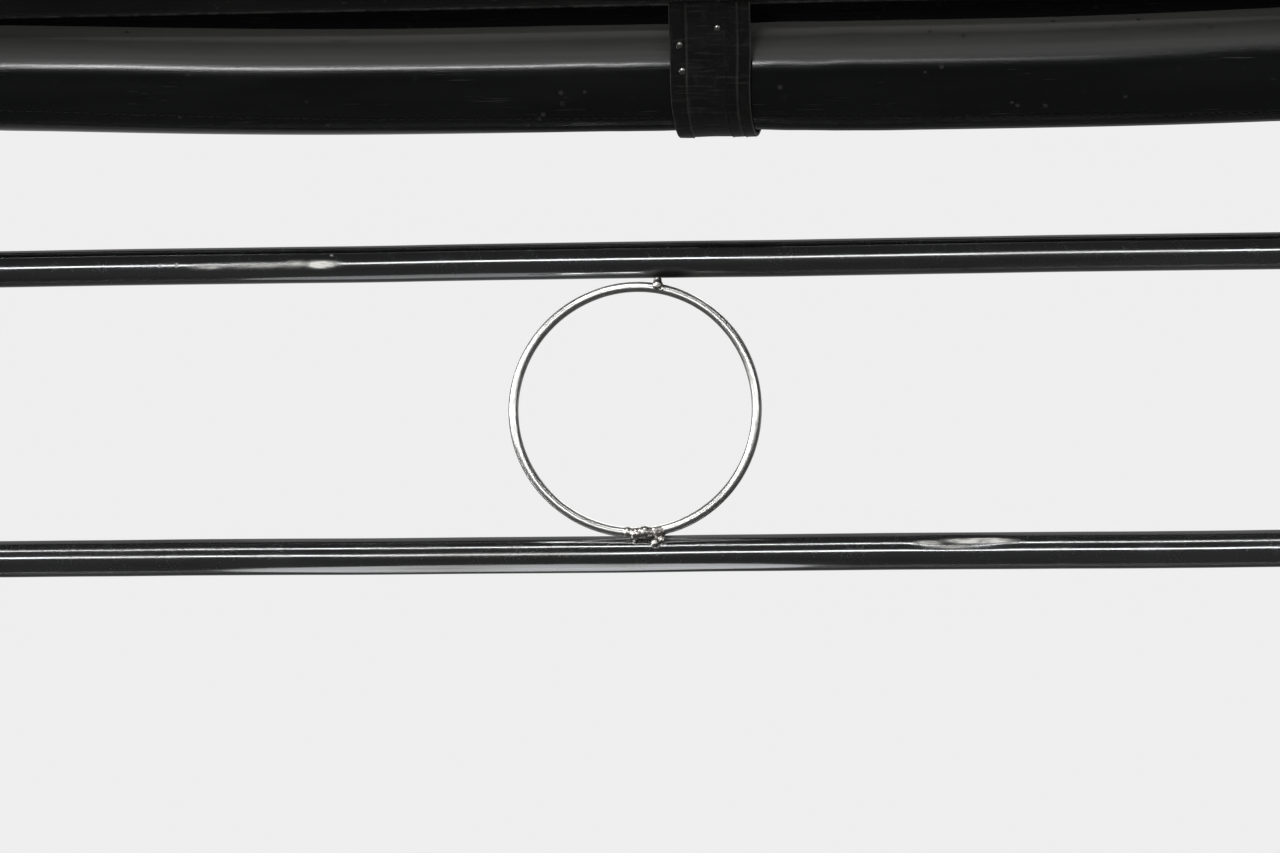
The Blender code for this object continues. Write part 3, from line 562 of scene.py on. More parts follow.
def fastener_tree():
    """Sets one fastener's copy on each point, along the point's own direction and turned at random about it."""
    numbers = {"Size": 1.0, "Size spread": 0.0, "Seed": 1}
    tree, given = new_tree("fastener_rows", numbers, ["Fastener"])
    facing = put(tree, HELD, {"Name": "facing"}, data_type="FLOAT_VECTOR")
    aimed = put(tree, "FunctionNodeAlignRotationToVector", {"Vector": facing}, axis="Z")
    drawn = {2: 0.0, 3: 2 * math.pi, "Seed": given["Seed"]}
    turn = put(tree, "FunctionNodeRandomValue", drawn, data_type="FLOAT").outputs[1]
    about = put(tree, "FunctionNodeEulerToRotation", {0: put(tree, "ShaderNodeCombineXYZ", {"Z": turn})})
    spun = put(tree, "FunctionNodeRotateRotation", {0: aimed, 1: about}, rotation_space="LOCAL")
    spread = {0: given["Size"], 1: given["Size spread"]}
    low, high = (put(tree, MATH, spread, operation=way) for way in ("SUBTRACT", "ADD"))
    drawn = {2: low, 3: high, "Seed": given["Seed"]}
    size = put(tree, "FunctionNodeRandomValue", drawn, data_type="FLOAT").outputs[1]
    template = put(tree, "GeometryNodeObjectInfo", {"Object": given["Fastener"]}).outputs["Geometry"]
    placed = put(tree, "GeometryNodeInstanceOnPoints", {
        "Points": given["Geometry"], "Instance": template, "Rotation": spun, "Scale": size})
    return end_tree(tree, given, placed)


def stitch_tree():
    """Sews along a path: one stitch a pitch, laid along the path with its ends dipping into the cloth."""
    tree, given = new_tree("stitch_rows", {"Pitch": 0.004, "Share sewn": 0.72, "Thread": 0.0005})
    path = put(tree, "GeometryNodeMeshToCurve", {0: given["Geometry"]})
    spots = put(tree, "GeometryNodeCurveToPoints", {"Curve": path, "Length": given["Pitch"]}, mode="LENGTH")
    held = dict(given)
    for name, first, second in (
        ("sewn", "Pitch", "Share sewn"), ("reach", "sewn", 0.5), ("back", "reach", -1.0),
        ("sink", "Thread", -0.5), ("half thread", "Thread", 0.5),
    ):
        parts = {0: held[first], 1: held.get(second, second)}
        held[name] = put(tree, MATH, parts, operation="MULTIPLY")
    bow = put(tree, "GeometryNodeCurveQuadraticBezier", {
        "Resolution": 4,
        "Start": put(tree, "ShaderNodeCombineXYZ", {"Y": held["sink"], "Z": held["back"]}),
        "Middle": put(tree, "ShaderNodeCombineXYZ", {"Y": held["Thread"]}),
        "End": put(tree, "ShaderNodeCombineXYZ", {"Y": held["sink"], "Z": held["reach"]})})
    section = {"Resolution": 5, "Radius": held["half thread"]}
    section = put(tree, "GeometryNodeCurvePrimitiveCircle", section, mode="RADIUS")
    stitch = put(tree, "GeometryNodeCurveToMesh", {"Curve": bow, "Profile Curve": section, "Fill Caps": True})
    facing = put(tree, HELD, {"Name": "facing"}, data_type="FLOAT_VECTOR")
    along = put(tree, "FunctionNodeAlignRotationToVector", {"Vector": spots.outputs["Tangent"]}, axis="Z")
    laid = put(tree, "FunctionNodeAlignRotationToVector", {"Rotation": along, "Vector": facing}, axis="Y",
               pivot_axis="Z")
    placed = put(tree, "GeometryNodeInstanceOnPoints", {"Points": spots, "Instance": stitch, "Rotation": laid})
    return end_tree(tree, given, placed)


def run_tree(name, tree, mesh, values, look):
    """Runs a tree on a mesh and keeps the result as a plain piece."""
    def dress(carrier):
        modifier = carrier.modifiers.new("tree", "NODES")
        modifier.node_group = tree
        for item in tree.interface.items_tree:
            if item.in_out == "INPUT" and item.name in values:
                modifier[item.identifier] = values[item.name]

    made = baked(mesh, dress)
    if not made.polygons:
        raise RuntimeError(f"the tree made nothing for {name}")
    for extra in ("facing", "tilt", "radius"):
        if extra in made.attributes:
            made.attributes.remove(made.attributes[extra])
    made.name = name
    return settle_piece(name, made, look)


def guide(spots, edges=()):
    """Points, joined or loose, from (place, way): each carries the way that its fastener or cloth faces."""
    mesh = bpy.data.meshes.new("guide")
    mesh.from_pydata([tuple(place) for place, _ in spots], edges, [])
    facing = mesh.attributes.new("facing", "FLOAT_VECTOR", "POINT")
    facing.data.foreach_set("vector", np.array([tuple(way) for _, way in spots], np.float32).ravel())
    return mesh


def stitches(name, lines, pitch, thread):
    """Stitches along lines of (place, way that the cloth faces there)."""
    spots, edges = [], []
    for line in lines:
        edges += [(len(spots) + i, len(spots) + i + 1) for i in range(len(line) - 1)]
        spots += line
    look = finish_named("waxed_thread")
    values = {"Pitch": pitch, "Thread": thread, "Finish": look}
    return run_tree(name, stitch_tree(), guide(spots, edges), values, look)


# Rails, ring and welds

RAIL_SIDES = 88
RAIL_WALL = 0.0012
COARSE_STEP, FINE_STEP = 0.0035, 0.0007
# A rail is straight beyond this, where its feet hold it, and wanders more and more over so much before it
STRAIGHT_FROM, EASES_OVER = 0.365, 0.08
DENT = {"x": 0.139, "length": 0.052, "depth": 0.0006, "turn": math.radians(146), "spread": math.radians(30)}
# Knocks on each rail: x, half length, height round its front in degrees, half spread in degrees, strength
SCUFFS = {
    "upper": (
        (-0.1868, 0.0100, -5, 13, 0.80), (-0.1700, 0.0090, 1, 9, 0.55), (-0.1590, 0.0085, -5, 9, 0.46),
        (-0.1480, 0.0065, 4, 14, 0.75), (-0.1368, 0.0095, -1, 17, 1.35), (-0.1324, 0.0014, 30, 6, 1.00),
        (-0.1630, 0.0340, -3, 15, 0.60), (-0.2010, 0.0011, 4, 8, 0.70), (-0.2082, 0.0008, 4, 8, 0.60),
    ),
    "lower": (
        (0.1262, 0.0078, 30, 9, 1.30), (0.1480, 0.0190, 36, 12, 2.20), (0.1360, 0.0160, 14, 10, 0.70),
        (0.1400, 0.0260, 14, 13, 0.30),
    ),
}
# What the welds' heat left on each rail: x, half length, height round the front, half spread, soot's share
HEAT = {"upper": (0.0150, 0.0260, -55, 62, 0.9), "lower": (0.0080, 0.0150, 72, 52, 0.8)}


def rail_piece(level, look, settings):
    """A guard rail's tube with its slow bends, knocks and dent, and masks for scuffs and the welds' heat."""
    half, axis_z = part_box("rail_" + level)[1].x, RAIL_Z[level]
    places, x = [-half], -half
    while x < half:
        near = any(abs(x - s[0]) < s[1] + 0.004 for s in SCUFFS[level]) or abs(x - HEAT[level][0]) < 0.02
        x = min(half, x + (FINE_STEP if near else COARSE_STEP))
        places.append(x)
    places = np.array(places)
    turns = 2 * np.pi * np.arange(RAIL_SIDES) / RAIL_SIDES
    across, around = np.meshgrid(places, turns, indexing="ij")
    front = np.degrees((np.pi - around + np.pi) % (2 * np.pi) - np.pi)
    scuff = np.zeros_like(across)
    for middle, reach, height, spread, strength in SCUFFS[level]:
        knock = strength * bell(across, middle, reach * 1.15) * bell(front, height, spread * 1.3)
        scuff = np.maximum(scuff, np.minimum(1, knock))
    middle, reach, height, spread, soot_share = HEAT[level]
    heat = bell(across, middle, reach) * bell(front, height, spread)
    soot = smoothstep(heat * 1.5 - 0.45) * soot_share
    radius = np.full_like(across, RAIL_RADIUS)
    if level == "lower":
        along = (across - DENT["x"]) / (DENT["length"] / 2)
        beside = (around - DENT["turn"]) / DENT["spread"]
        radius -= DENT["depth"] * (np.clip(1 - along**2, 0, 1) * np.clip(1 - beside**2, 0, 1)) ** 2
    rough = np.array([[noise.noise((x * 420, a * 3.1, 7.0)) for a in turns] for x in places])
    radius -= scuff * settings.knock_depth * (0.45 + 0.55 * rough)
    window = 1 - smoothstep((np.abs(places) - STRAIGHT_FROM + EASES_OVER) / EASES_OVER)
    seed = {"upper": 1, "lower": 2}[level]
    rise = sway(places, seed, 0.16, settings.rail_bend) * window
    drift = sway(places, seed + 4, 0.19, settings.rail_bend) * window
    y = RAIL_Y + drift[:, None] + radius * np.cos(around)
    z = axis_z + rise[:, None] + radius * np.sin(around)
    outer = np.stack([across, y, z], axis=2).reshape(-1, 3)
    bore = RAIL_RADIUS - RAIL_WALL
    wall = [np.zeros(RAIL_SIDES), RAIL_Y + bore * np.cos(turns), axis_z + bore * np.sin(turns)]
    inner = [np.stack(wall, axis=1) + np.array([end, 0, 0]) for end in (half, -half)]
    faces = tube_faces(len(places) + len(inner), RAIL_SIDES, cyclic=True)
    piece = new_piece("guard_rail_" + level, np.vstack([outer, *inner]), faces, look)
    for name, mask in (("scuff", scuff), ("heat", heat * 0.75), ("soot", soot)):
        give_mask(piece, name, np.concatenate([mask.ravel(), np.zeros(len(inner) * RAIL_SIDES)]))
    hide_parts("rail_" + level)
    return piece


# The ring stands forward of the rails' axes, rests on the lower rail and ends just under the upper one
RING_FORWARD, GAP_UNDER_RAIL = 0.005, 0.0016
RING_BOTTOM_Z = RAIL_Z["lower"] + math.sqrt((RAIL_RADIUS + SEAT + ROD_RADIUS) ** 2 - RING_FORWARD**2)
RING_TOP_Z = RAIL_Z["upper"] - RAIL_RADIUS - GAP_UNDER_RAIL - ROD_RADIUS
RING_RADIUS = (RING_TOP_Z - RING_BOTTOM_Z) / 2
RING_Z = (RING_TOP_Z + RING_BOTTOM_Z) / 2
# How far the hand-bent rod strays from a circle: waves round the ring, share of its radius
RING_BEND_SHARES = ((1, -0.008), (2, -0.005), (3, 0.004))
# The rod's two ends keep this apart, less what the weld hides, so far beside the ring's lowest point
BUTT_GAP, HIDDEN_BY_WELD, BUTT_OFFSET = 0.0095, 0.003, 0.0012
RING_STEPS, ROD_SIDES = 420, 22


def ring_point(turn, rise=0.0):
    """A point on the rod's middle line, or a rise outside it, at a turn from the ring's lowest point."""
    stray = sum(share * math.sin(waves * turn) for waves, share in RING_BEND_SHARES)
    reach = RING_RADIUS * (1 + stray) + rise
    return Vector((math.sin(turn) * reach, RING_Y, RING_Z - math.cos(turn) * reach))


def ring_piece(look, settings):
    """The wire ring: one rod bent by hand, so that it is never quite round, flat or even."""
    gap = (BUTT_GAP - HIDDEN_BY_WELD) / RING_RADIUS
    start = BUTT_OFFSET / RING_RADIUS + gap / 2
    points, run, heat = [], [], []
    for step in range(RING_STEPS + 1):
        turn = start + (2 * math.pi - gap) * step / RING_STEPS
        free = smoothstep(abs((turn + math.pi) % (2 * math.pi) - math.pi) / 0.6)
        lean = noise.noise((math.cos(turn) * 1.3, math.sin(turn) * 1.3, 3.7)) * settings.ring_wobble * free
        outward = Vector((math.sin(turn), 0, -math.cos(turn)))
        middle = ring_point(turn) + Vector((0, lean, 0))
        near_top = bell(math.degrees(turn), 180 - 10.5, 9)
        near_butt = max(bell(t * RING_RADIUS, BUTT_OFFSET, 0.013) for t in (turn, turn - 2 * math.pi))
        for side in range(ROD_SIDES):
            around = 2 * math.pi * side / ROD_SIDES
            dent = noise.noise((turn * 16, math.cos(around) * 1.2, math.sin(around) * 1.2))
            reach = ROD_RADIUS * (1 - settings.wire_flats * (0.5 + dent))
            across = Vector((0, reach * math.sin(around), 0))
            points.append(middle + outward * reach * math.cos(around) + across)
            run.append((turn * RING_RADIUS, around * ROD_RADIUS))
            heat.append(min(1.0, 0.85 * near_top + 0.9 * near_butt))
    faces = tube_faces(RING_STEPS + 1, ROD_SIDES)
    piece = new_piece("wire_ring", points, faces, look)
    give_run(piece, run)
    give_mask(piece, "heat", heat)
    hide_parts("ring")
    return piece


def on_rod(along, out=0.0, front=0.0):
    """A spot by the rod: a length round it from its lowest point, then outwards and towards the street."""
    return ring_point(along / RING_RADIUS, out) + Vector((0, -front, 0))


def by_rail(x, level, up, front):
    """A spot by a rail: its x, its height over the rail's axis, and how far it stands out from that axis."""
    return Vector((x, RAIL_Y - front, RAIL_Z[level] + up))


TOP = math.pi * RING_RADIUS
# Beads of each weld: where it sits, its radius, and how much soot lies on it
WELD_BEADS = {
    "weld_butt": (
        (on_rod(-0.0043, -0.0002, 0.0003), 0.00240, 0.2), (on_rod(-0.0028, 0.0002, 0.0002), 0.00235, 0.3),
        (on_rod(-0.0006, 0.0003, 0.0005), 0.00285, 0.0), (on_rod(0.0012, 0.0001, 0.0004), 0.00265, 0.1),
        (on_rod(0.0034, -0.0002, 0.0006), 0.00290, 0.0), (on_rod(0.0053, 0.0001, 0.0002), 0.00245, 0.2),
    ),
    "tack_lower": (
        (on_rod(0.0086, 0.0006, 0.0003), 0.00255, 0.7), (on_rod(0.0104, 0.0004, 0.0002), 0.00240, 0.8),
        (by_rail(0.0090, "lower", 0.0078, 0.0048), 0.00230, 0.9),
        (by_rail(0.0079, "lower", 0.0047, 0.0072), 0.00205, 0.0),
        (by_rail(0.0107, "lower", 0.0060, 0.0062), 0.00175, 0.0),
    ),
    "tack_upper": (
        (on_rod(TOP - 0.0098, 0.0013, 0.0008), 0.00250, 0.0),
        (on_rod(TOP - 0.0093, 0.0034, -0.0006), 0.00185, 0.7),
        (on_rod(TOP - 0.0124, 0.0002, 0.0010), 0.00150, 0.0),
        (on_rod(TOP - 0.0142, -0.0002, 0.0012), 0.00110, 0.1),
    ),
}
WELD_VOXEL = 0.00019


def weld_piece(name, look, settings):
    """One lumpy weld: beads of metal run together over the rod and the rail, then rippled as they cooled."""
    beads = WELD_BEADS[name]
    bm = bmesh.new()
    for middle, radius, _ in beads:
        bmesh.ops.create_icosphere(bm, subdivisions=3, radius=radius, matrix=Matrix.Translation(middle))
    mesh = bpy.data.meshes.new(name)
    bm.to_mesh(mesh)
    bm.free()

    def dress(carrier):
        remesh = carrier.modifiers.new("run_together", "REMESH")
        remesh.mode, remesh.voxel_size = "VOXEL", WELD_VOXEL
        ease = carrier.modifiers.new("ease", "SMOOTH")
        ease.factor, ease.iterations = 0.7, 9

    made = baked(mesh, dress)
    normals = [v.normal.copy() for v in made.vertices]
    soot = []
    for vert, normal in zip(made.vertices, normals):
        spot = vert.co * 1000
        ripple = noise.noise(spot * 0.9) * 0.6 + noise.noise(spot * 2.2) * 0.4
        near = min(beads, key=lambda bead: (vert.co - bead[0]).length - bead[1])
        soot.append(near[2] * (0.55 + 0.45 * noise.noise(spot * 1.3)))
        vert.co += normal * ripple * settings.weld_ripple
    made.name = name
    piece = settle_piece("bead_" + name, made, look, sharp=math.pi)
    give_mask(piece, "soot", np.clip(soot, 0, 1))
    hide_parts(name)
    return piece


# The rolled curtain

ROLL_Y, ROLL_Z = -0.0466, 0.4270
ROLL_HALF, STRAP_REACH, MIDDLE_STRAP_X = ROLL_BOX[1].x, 0.345, 0.037
STRAP_PLACES = {"left": -STRAP_REACH, "middle": MIDDLE_STRAP_X, "right": STRAP_REACH}
FLAP_Y, FLAP_TOP = (FLAP_BOX[0].y + FLAP_BOX[1].y) / 2, FLAP_BOX[1].z
SHEET_HALF = 0.0004
HEM_HALF, HEM_LENGTH = 0.00085, 0.013
# Where the hem ends round the roll, at each end of it
SEAM_LEFT, SEAM_RIGHT = math.radians(123), math.radians(92)
# Points along the sheet's path: close together where the roll shows, coarse inside it, and this many to the hem
SHOWN_STEP, INNER_STEP, TAIL_POINTS = math.radians(6.5), math.radians(14), 74


def roll_height(x):
    """Height of the roll's axis at x: lifted at its outer straps and sagging between them."""
    left = x < MIDDLE_STRAP_X
    lift, sag = np.where(left, 0.006, 0.003), np.where(left, 0.002, 0.0015)
    span = np.where(left, MIDDLE_STRAP_X + STRAP_REACH, STRAP_REACH - MIDDLE_STRAP_X)
    share = np.minimum(1.0, np.abs(x - MIDDLE_STRAP_X) / span)
    return ROLL_Z + lift * smoothstep(share) - sag * (1 - np.cos(2 * np.pi * share)) / 2


def winding_tree():
    """Winds a flat sheet into the roll: down from the header, round and in, back out beside itself to its hem.

    Each point brings its turn about the roll's axis, the turn of the hem there, the layer it is on (0 on the
    header's side, 1 on the hem's) and how far above the roll it hangs.
    """
    numbers = {"Hem radius": 0.0241, "Pitch": 0.0036, "Back radius": 0.0240, "Axis y": ROLL_Y, "Axis z": ROLL_Z}
    tree, given = new_tree("curtain_winding", numbers)
    held = dict(given)
    for name in ("turn", "layer", "seam", "hung"):
        held[name] = put(tree, HELD, {"Name": name}, data_type="FLOAT").outputs[0]
    for name, operation, first, second in (
        ("past", "SUBTRACT", "turn", "seam"), ("turns", "DIVIDE", "past", 2 * math.pi),
        ("drawn in", "MULTIPLY", "turns", "Pitch"), ("hem", "SUBTRACT", "Hem radius", "drawn in"),
        ("inward", "SUBTRACT", 1.0, "layer"), ("half pitch", "MULTIPLY", "Pitch", 0.5),
        ("below", "MULTIPLY", "inward", "half pitch"), ("wound", "SUBTRACT", "hem", "below"),
        ("before", "DIVIDE", "turn", "seam"), ("at seam", "SUBTRACT", "Hem radius", "half pitch"),
        ("round", "MAXIMUM", "turn", 0.0), ("cosine", "COSINE", "round", 0.0), ("sine", "SINE", "round", 0.0),
    ):
        parts = {0: held.get(first, first), 1: held.get(second, second)}
        held[name] = put(tree, MATH, parts, operation=operation)
    joined = put(tree, RANGE, {0: held["before"], 1: 0.0, 2: 1.0}, **EASED)
    arriving = put(tree, MIX, {0: joined, 2: held["Back radius"], 3: held["at seam"]}, data_type="FLOAT")
    compared = {0: held["before"], 1: 1.0}
    is_past = put(tree, "FunctionNodeCompare", compared, operation="GREATER_THAN", data_type="FLOAT")
    reach = put(tree, "GeometryNodeSwitch", {0: is_past, 1: arriving, 2: held["wound"]}, input_type="FLOAT")
    out, down = (put(tree, MATH, {0: held[way], 1: reach}, operation="MULTIPLY") for way in ("cosine", "sine"))
    sunk = put(tree, MATH, {0: held["Axis z"], 1: down}, operation="SUBTRACT")
    place = put(tree, "ShaderNodeCombineXYZ", {
        "X": put(tree, "ShaderNodeSeparateXYZ", {0: put(tree, "GeometryNodeInputPosition")}),
        "Y": put(tree, MATH, {0: out, 1: held["Axis y"]}),
        "Z": put(tree, MATH, {0: sunk, 1: held["hung"]})})
    return end_tree(tree, given, put(tree, "GeometryNodeSetPosition", {0: held["Geometry"], "Position": place}))


def sheet_stations():
    """Where the curtain has points along the vehicle: close together at its straps."""
    places, x = [-ROLL_HALF], -ROLL_HALF
    while x < ROLL_HALF:
        near = min(abs(x - strap) for strap in STRAP_PLACES.values())
        x = min(ROLL_HALF, x + (0.0030 if near < 0.03 else 0.0062))
        places.append(x)
    return np.array(places)


def curtain_path(settings):
    """The sheet from header to hem, one row a point: turn past the flap's foot, layer, height hung above."""
    last = settings.roll_turns * 2 * math.pi
    rows = [(0.0, 0.0, hung) for hung in np.linspace(FLAP_TOP - ROLL_Z, 0.0045, 9)]
    turn = 0.0
    while turn < last:
        rows.append((turn, 0.0, 0.0))
        turn += SHOWN_STEP if turn < 2.2 * math.pi else INNER_STEP
    fold = math.asin(0.07)
    for share in np.linspace(0, 1, 7):
        rows.append((last + fold * math.sin(math.pi * share), (1 - math.cos(math.pi * share)) / 2, 0.0))
    turn = last - INNER_STEP
    while turn > 2 * math.pi + math.radians(125):
        rows.append((turn, 1.0, 0.0))
        turn -= INNER_STEP
    rows += [(turn * (1 - share), 1.0, 0.0) for share in np.linspace(0, 1, TAIL_POINTS)]
    return np.array(rows)


def wound_sheet(look, settings):
    """The sheet's middle as the tree winds it, with each point's place, turn, layer, height and hem."""
    places, path = sheet_stations(), curtain_path(settings)
    stations, rows = len(places), len(path)
    seam = SEAM_LEFT + (SEAM_RIGHT - SEAM_LEFT) * (places + ROLL_HALF) / (2 * ROLL_HALF)
    turn, layer, hung = (np.tile(column, (stations, 1)) for column in path.T)
    share = np.linspace(0, 1, TAIL_POINTS)
    turn[:, -TAIL_POINTS:] = path[-TAIL_POINTS, 0] * (1 - share) + seam[:, None] * share
    grid = np.zeros((stations, rows, 3))
    grid[:, :, 0] = places[:, None]
    faces = [
        (i * rows + j, (i + 1) * rows + j, (i + 1) * rows + j + 1, i * rows + j + 1)
        for i in range(stations - 1) for j in range(rows - 1)
    ]
    flat = bpy.data.meshes.new("curtain_flat")
    flat.from_pydata(grid.reshape(-1, 3).tolist(), [], faces)
    held = {"turn": turn, "layer": layer, "hung": hung, "seam": np.tile(seam[:, None], (1, rows))}
    for name, values in held.items():
        give_mask(flat, name, values)
    values = {"Hem radius": settings.roll_radius - SHEET_HALF, "Pitch": settings.roll_pitch,
              "Back radius": FLAP_Y - ROLL_Y, "Finish": look}
    wound = run_tree("curtain_wound", winding_tree(), flat, values, look)
    middle = np.empty(stations * rows * 3, np.float32)
    wound.data.vertices.foreach_get("co", middle)
    bpy.data.objects.remove(wound)
    return places, turn, layer, hung, seam, middle.reshape(stations, rows, 3).astype(float)


def curtain_piece(look, settings):
    """The curtain: one sheet hung behind the roll, wound from its middle, its hem loose along the underside."""
    places, turn, layer, hung, seam, middle = wound_sheet(look, settings)
    stations, rows = turn.shape

    # The wound sheet sags between its straps, is drawn in by them and wrinkles beside them
    outward = np.stack([np.zeros_like(turn), np.cos(turn), -np.sin(turn)], axis=2)
    on_roll = 1 - smoothstep(hung / (FLAP_TOP - ROLL_Z))
    middle[:, :, 2] += (roll_height(places) - ROLL_Z)[:, None] * on_roll
    straps = STRAP_PLACES.values()
    pull = np.max([bell(places, strap, 0.030) for strap in straps], axis=0)
    beside = np.max([bell(places, strap + way * 0.045, 0.055) for strap in straps for way in (-1, 1)], axis=0)
    angle = np.arctan2(outward[:, :, 2], outward[:, :, 1])
    ripple = np.zeros_like(turn)
    for i, x in enumerate(places):
        for j in range(rows):
            a = angle[i, j]
            long_wave = noise.noise((x * 11, math.cos(a) * 1.4, math.sin(a) * 1.4 + 8))
            tuck = noise.noise((x * 60 + 0.8 * a, math.cos(a) * 2.2, math.sin(a) * 2.2))
            crease = noise.noise((x * 7 + 3, a * 4.2 + turn[i, j], 5.1))
            ripple[i, j] = 0.45 * long_wave + 0.65 * beside[i] * tuck + 0.28 * crease
    outer = np.clip((settings.roll_turns - turn / (2 * np.pi)) / settings.roll_turns, 0.15, 1)
    moved = (ripple * settings.sheet_ripple * outer - pull[:, None] * 0.00045) * (on_roll > 0.98)
    middle += outward * moved[:, :, None]

    # The hem hangs a little loose, most of all right of the middle strap
    from_hem = np.clip((turn - seam[:, None]) / math.radians(34), 0, 1)
    loose = np.where(layer > 0.5, (1 - smoothstep(from_hem)) * (turn < seam[:, None] + math.radians(40)), 0)
    slack = 0.25 + 0.75 * smoothstep((places - 0.055) / 0.05) * (1 - pull)
    slack *= 0.75 + 0.25 * np.sin(places * 23 + 1)
    middle += outward * (loose * slack[:, None] * settings.hem_slack)[:, :, None]

    # The sheet gets its thickness, doubled over at the hem
    step = np.gradient(middle, axis=1)
    normal = np.stack([np.zeros_like(turn), -step[:, :, 2], step[:, :, 1]], axis=2)
    normal /= np.maximum(np.linalg.norm(normal, axis=2, keepdims=True), 1e-9)
    steps = np.linalg.norm(np.diff(middle, axis=1), axis=2)
    length = np.concatenate([np.zeros((stations, 1)), np.cumsum(steps, axis=1)], axis=1)
    to_end = length[:, -1:] - length
    half = SHEET_HALF + (HEM_HALF - SHEET_HALF) * (1 - smoothstep((to_end - HEM_LENGTH) / 0.0012))
    one, other = middle + normal * half[:, :, None], middle - normal * half[:, :, None]
    points = np.concatenate([one, other[:, ::-1]], axis=1).reshape(-1, 3)
    faces = tube_faces(stations, 2 * rows, caps=False)
    for row in (0, stations - 1):
        base = row * 2 * rows
        end = base + 2 * rows
        faces += [(base + j, base + j + 1, end - 2 - j, end - 1 - j) for j in range(rows - 1)]
    piece = new_piece("rain_curtain", points, faces, look, sharp=math.radians(60))
    down = np.concatenate([length, length[:, ::-1]], axis=1)
    run = np.stack([down, np.repeat(places[:, None], 2 * rows, axis=1)], axis=2)
    give_run(piece, run.reshape(-1, 2))
    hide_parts("curtain_roll", "curtain_flap")
    print(f"curtain: sheet of {2 * ROLL_HALF:.3f} by {length[:, -1].mean():.3f} m, {len(points)} points")
    return piece, middle, normal, length


# How far the hem's seam lies in from the fold's edge, and how near to a strap's middle it is hidden
HEM_SEAM_IN, HIDDEN_BY_STRAP = 0.0022, 0.019


def hem_stitches(middle, normal, length):
    """The row of stitches along the curtain's hem, broken at the straps."""
    line = []
    for i in range(len(length)):
        back = length[i, -1] - length[i]
        j = int(np.argmin(np.abs(back - (HEM_LENGTH - HEM_SEAM_IN))))
        outward = np.array([0, middle[i, j, 1] - ROLL_Y, middle[i, j, 2] - roll_height(middle[i, j, 0])])
        side = normal[i, j] if normal[i, j] @ outward > 0 else -normal[i, j]
        line.append((middle[i, j] + side * (HEM_HALF + 0.0001), side))
    straps = sorted(STRAP_PLACES.values())
    free = [spot for spot in line if min(abs(spot[0][0] - strap) for strap in straps) > HIDDEN_BY_STRAP]
    lines = [
        [spot for spot in free if low < spot[0][0] < high]
        for low, high in zip((-1, *straps), (*straps, 1))
    ]
    return stitches("curtain_hem_stitches", lines, 0.0042, 0.00055)


# Straps

STRAP_FRONT_Y, STRAP_BACK_Y, STRAP_TOP = STRAP_BOX[0].y, STRAP_BOX[1].y, STRAP_BOX[1].z
STRAP_HALF = 0.00055
# A strap keeps clear of its box by this: for its folds in front, behind, and at both ends
FOLDS_CLEAR, BACK_CLEAR, END_CLEAR = 0.0006, 0.0002, 0.0002
# Raised hems across a strap's outer face, from its left edge at 0 to its right edge at 1: from, to, rise
STRAP_HEMS = ((-0.1, 0.205, 0.00034), (0.665, 1.1, 0.00030), (0.835, 1.1, 0.00022))
HEM_EDGES = (0.205, 0.665, 0.835)
STRAP_STITCHES = (0.185, 0.690, 0.855)
EDGE_ROUNDING = 0.0006
STRAP_SEEDS = {"left": 11.0, "middle": 17.0, "right": 23.0}


def strap_line(x):
    """A strap's middle line from shelf to batten, under the roll: rows of (y, z, outward y, outward z)."""
    axis_z = float(roll_height(np.array(x)))
    front, back = STRAP_FRONT_Y + FOLDS_CLEAR + STRAP_HALF, STRAP_BACK_Y - STRAP_HALF - BACK_CLEAR
    radius, middle = (back - front) / 2, (back + front) / 2
    rows = [(front, z, -1.0, 0.0) for z in np.linspace(STRAP_TOP - END_CLEAR, axis_z + 0.001, 30)]
    for turn in np.linspace(math.pi, 2 * math.pi, 60):
        out = (math.cos(turn), math.sin(turn))
        rows.append((middle + radius * out[0], axis_z + radius * out[1], *out))
    rows += [(back, z, 1.0, 0.0) for z in np.linspace(axis_z + 0.001, FLAP_TOP - END_CLEAR, 16)]
    return np.array(rows)


def strap_width_at(share):
    """A strap's width along its length: drawn in where it bears on the roll."""
    return STRAP_BOX[1].x - STRAP_BOX[0].x - 0.0015 * bell(share, 0.48, 0.42)


def strap_rise(s, share, length, width, seed, settings):
    """How far a strap's outer face stands off its middle, at a share across it and along it."""
    rise = STRAP_HALF
    for start, end, height in STRAP_HEMS:
        rise += height * float(smoothstep((s - start) / 0.022) * smoothstep((end - s) / 0.022))
    for stitched in STRAP_STITCHES:
        rise -= 0.00016 * float(bell(s, stitched, 0.030))
    rise += settings.strap_buckle * noise.noise((length * 55, s * 2.6, seed))
    rise += 0.00035 * float(bell(s - 0.6 * (share * 12), 0.78, 0.10) * (share < 0.05))
    rounding = min(s, 1 - s) * width
    if rounding < EDGE_ROUNDING:
        rise -= (rise + STRAP_HALF) * 0.5 * (1 - rounding / EDGE_ROUNDING) ** 2
    return rise


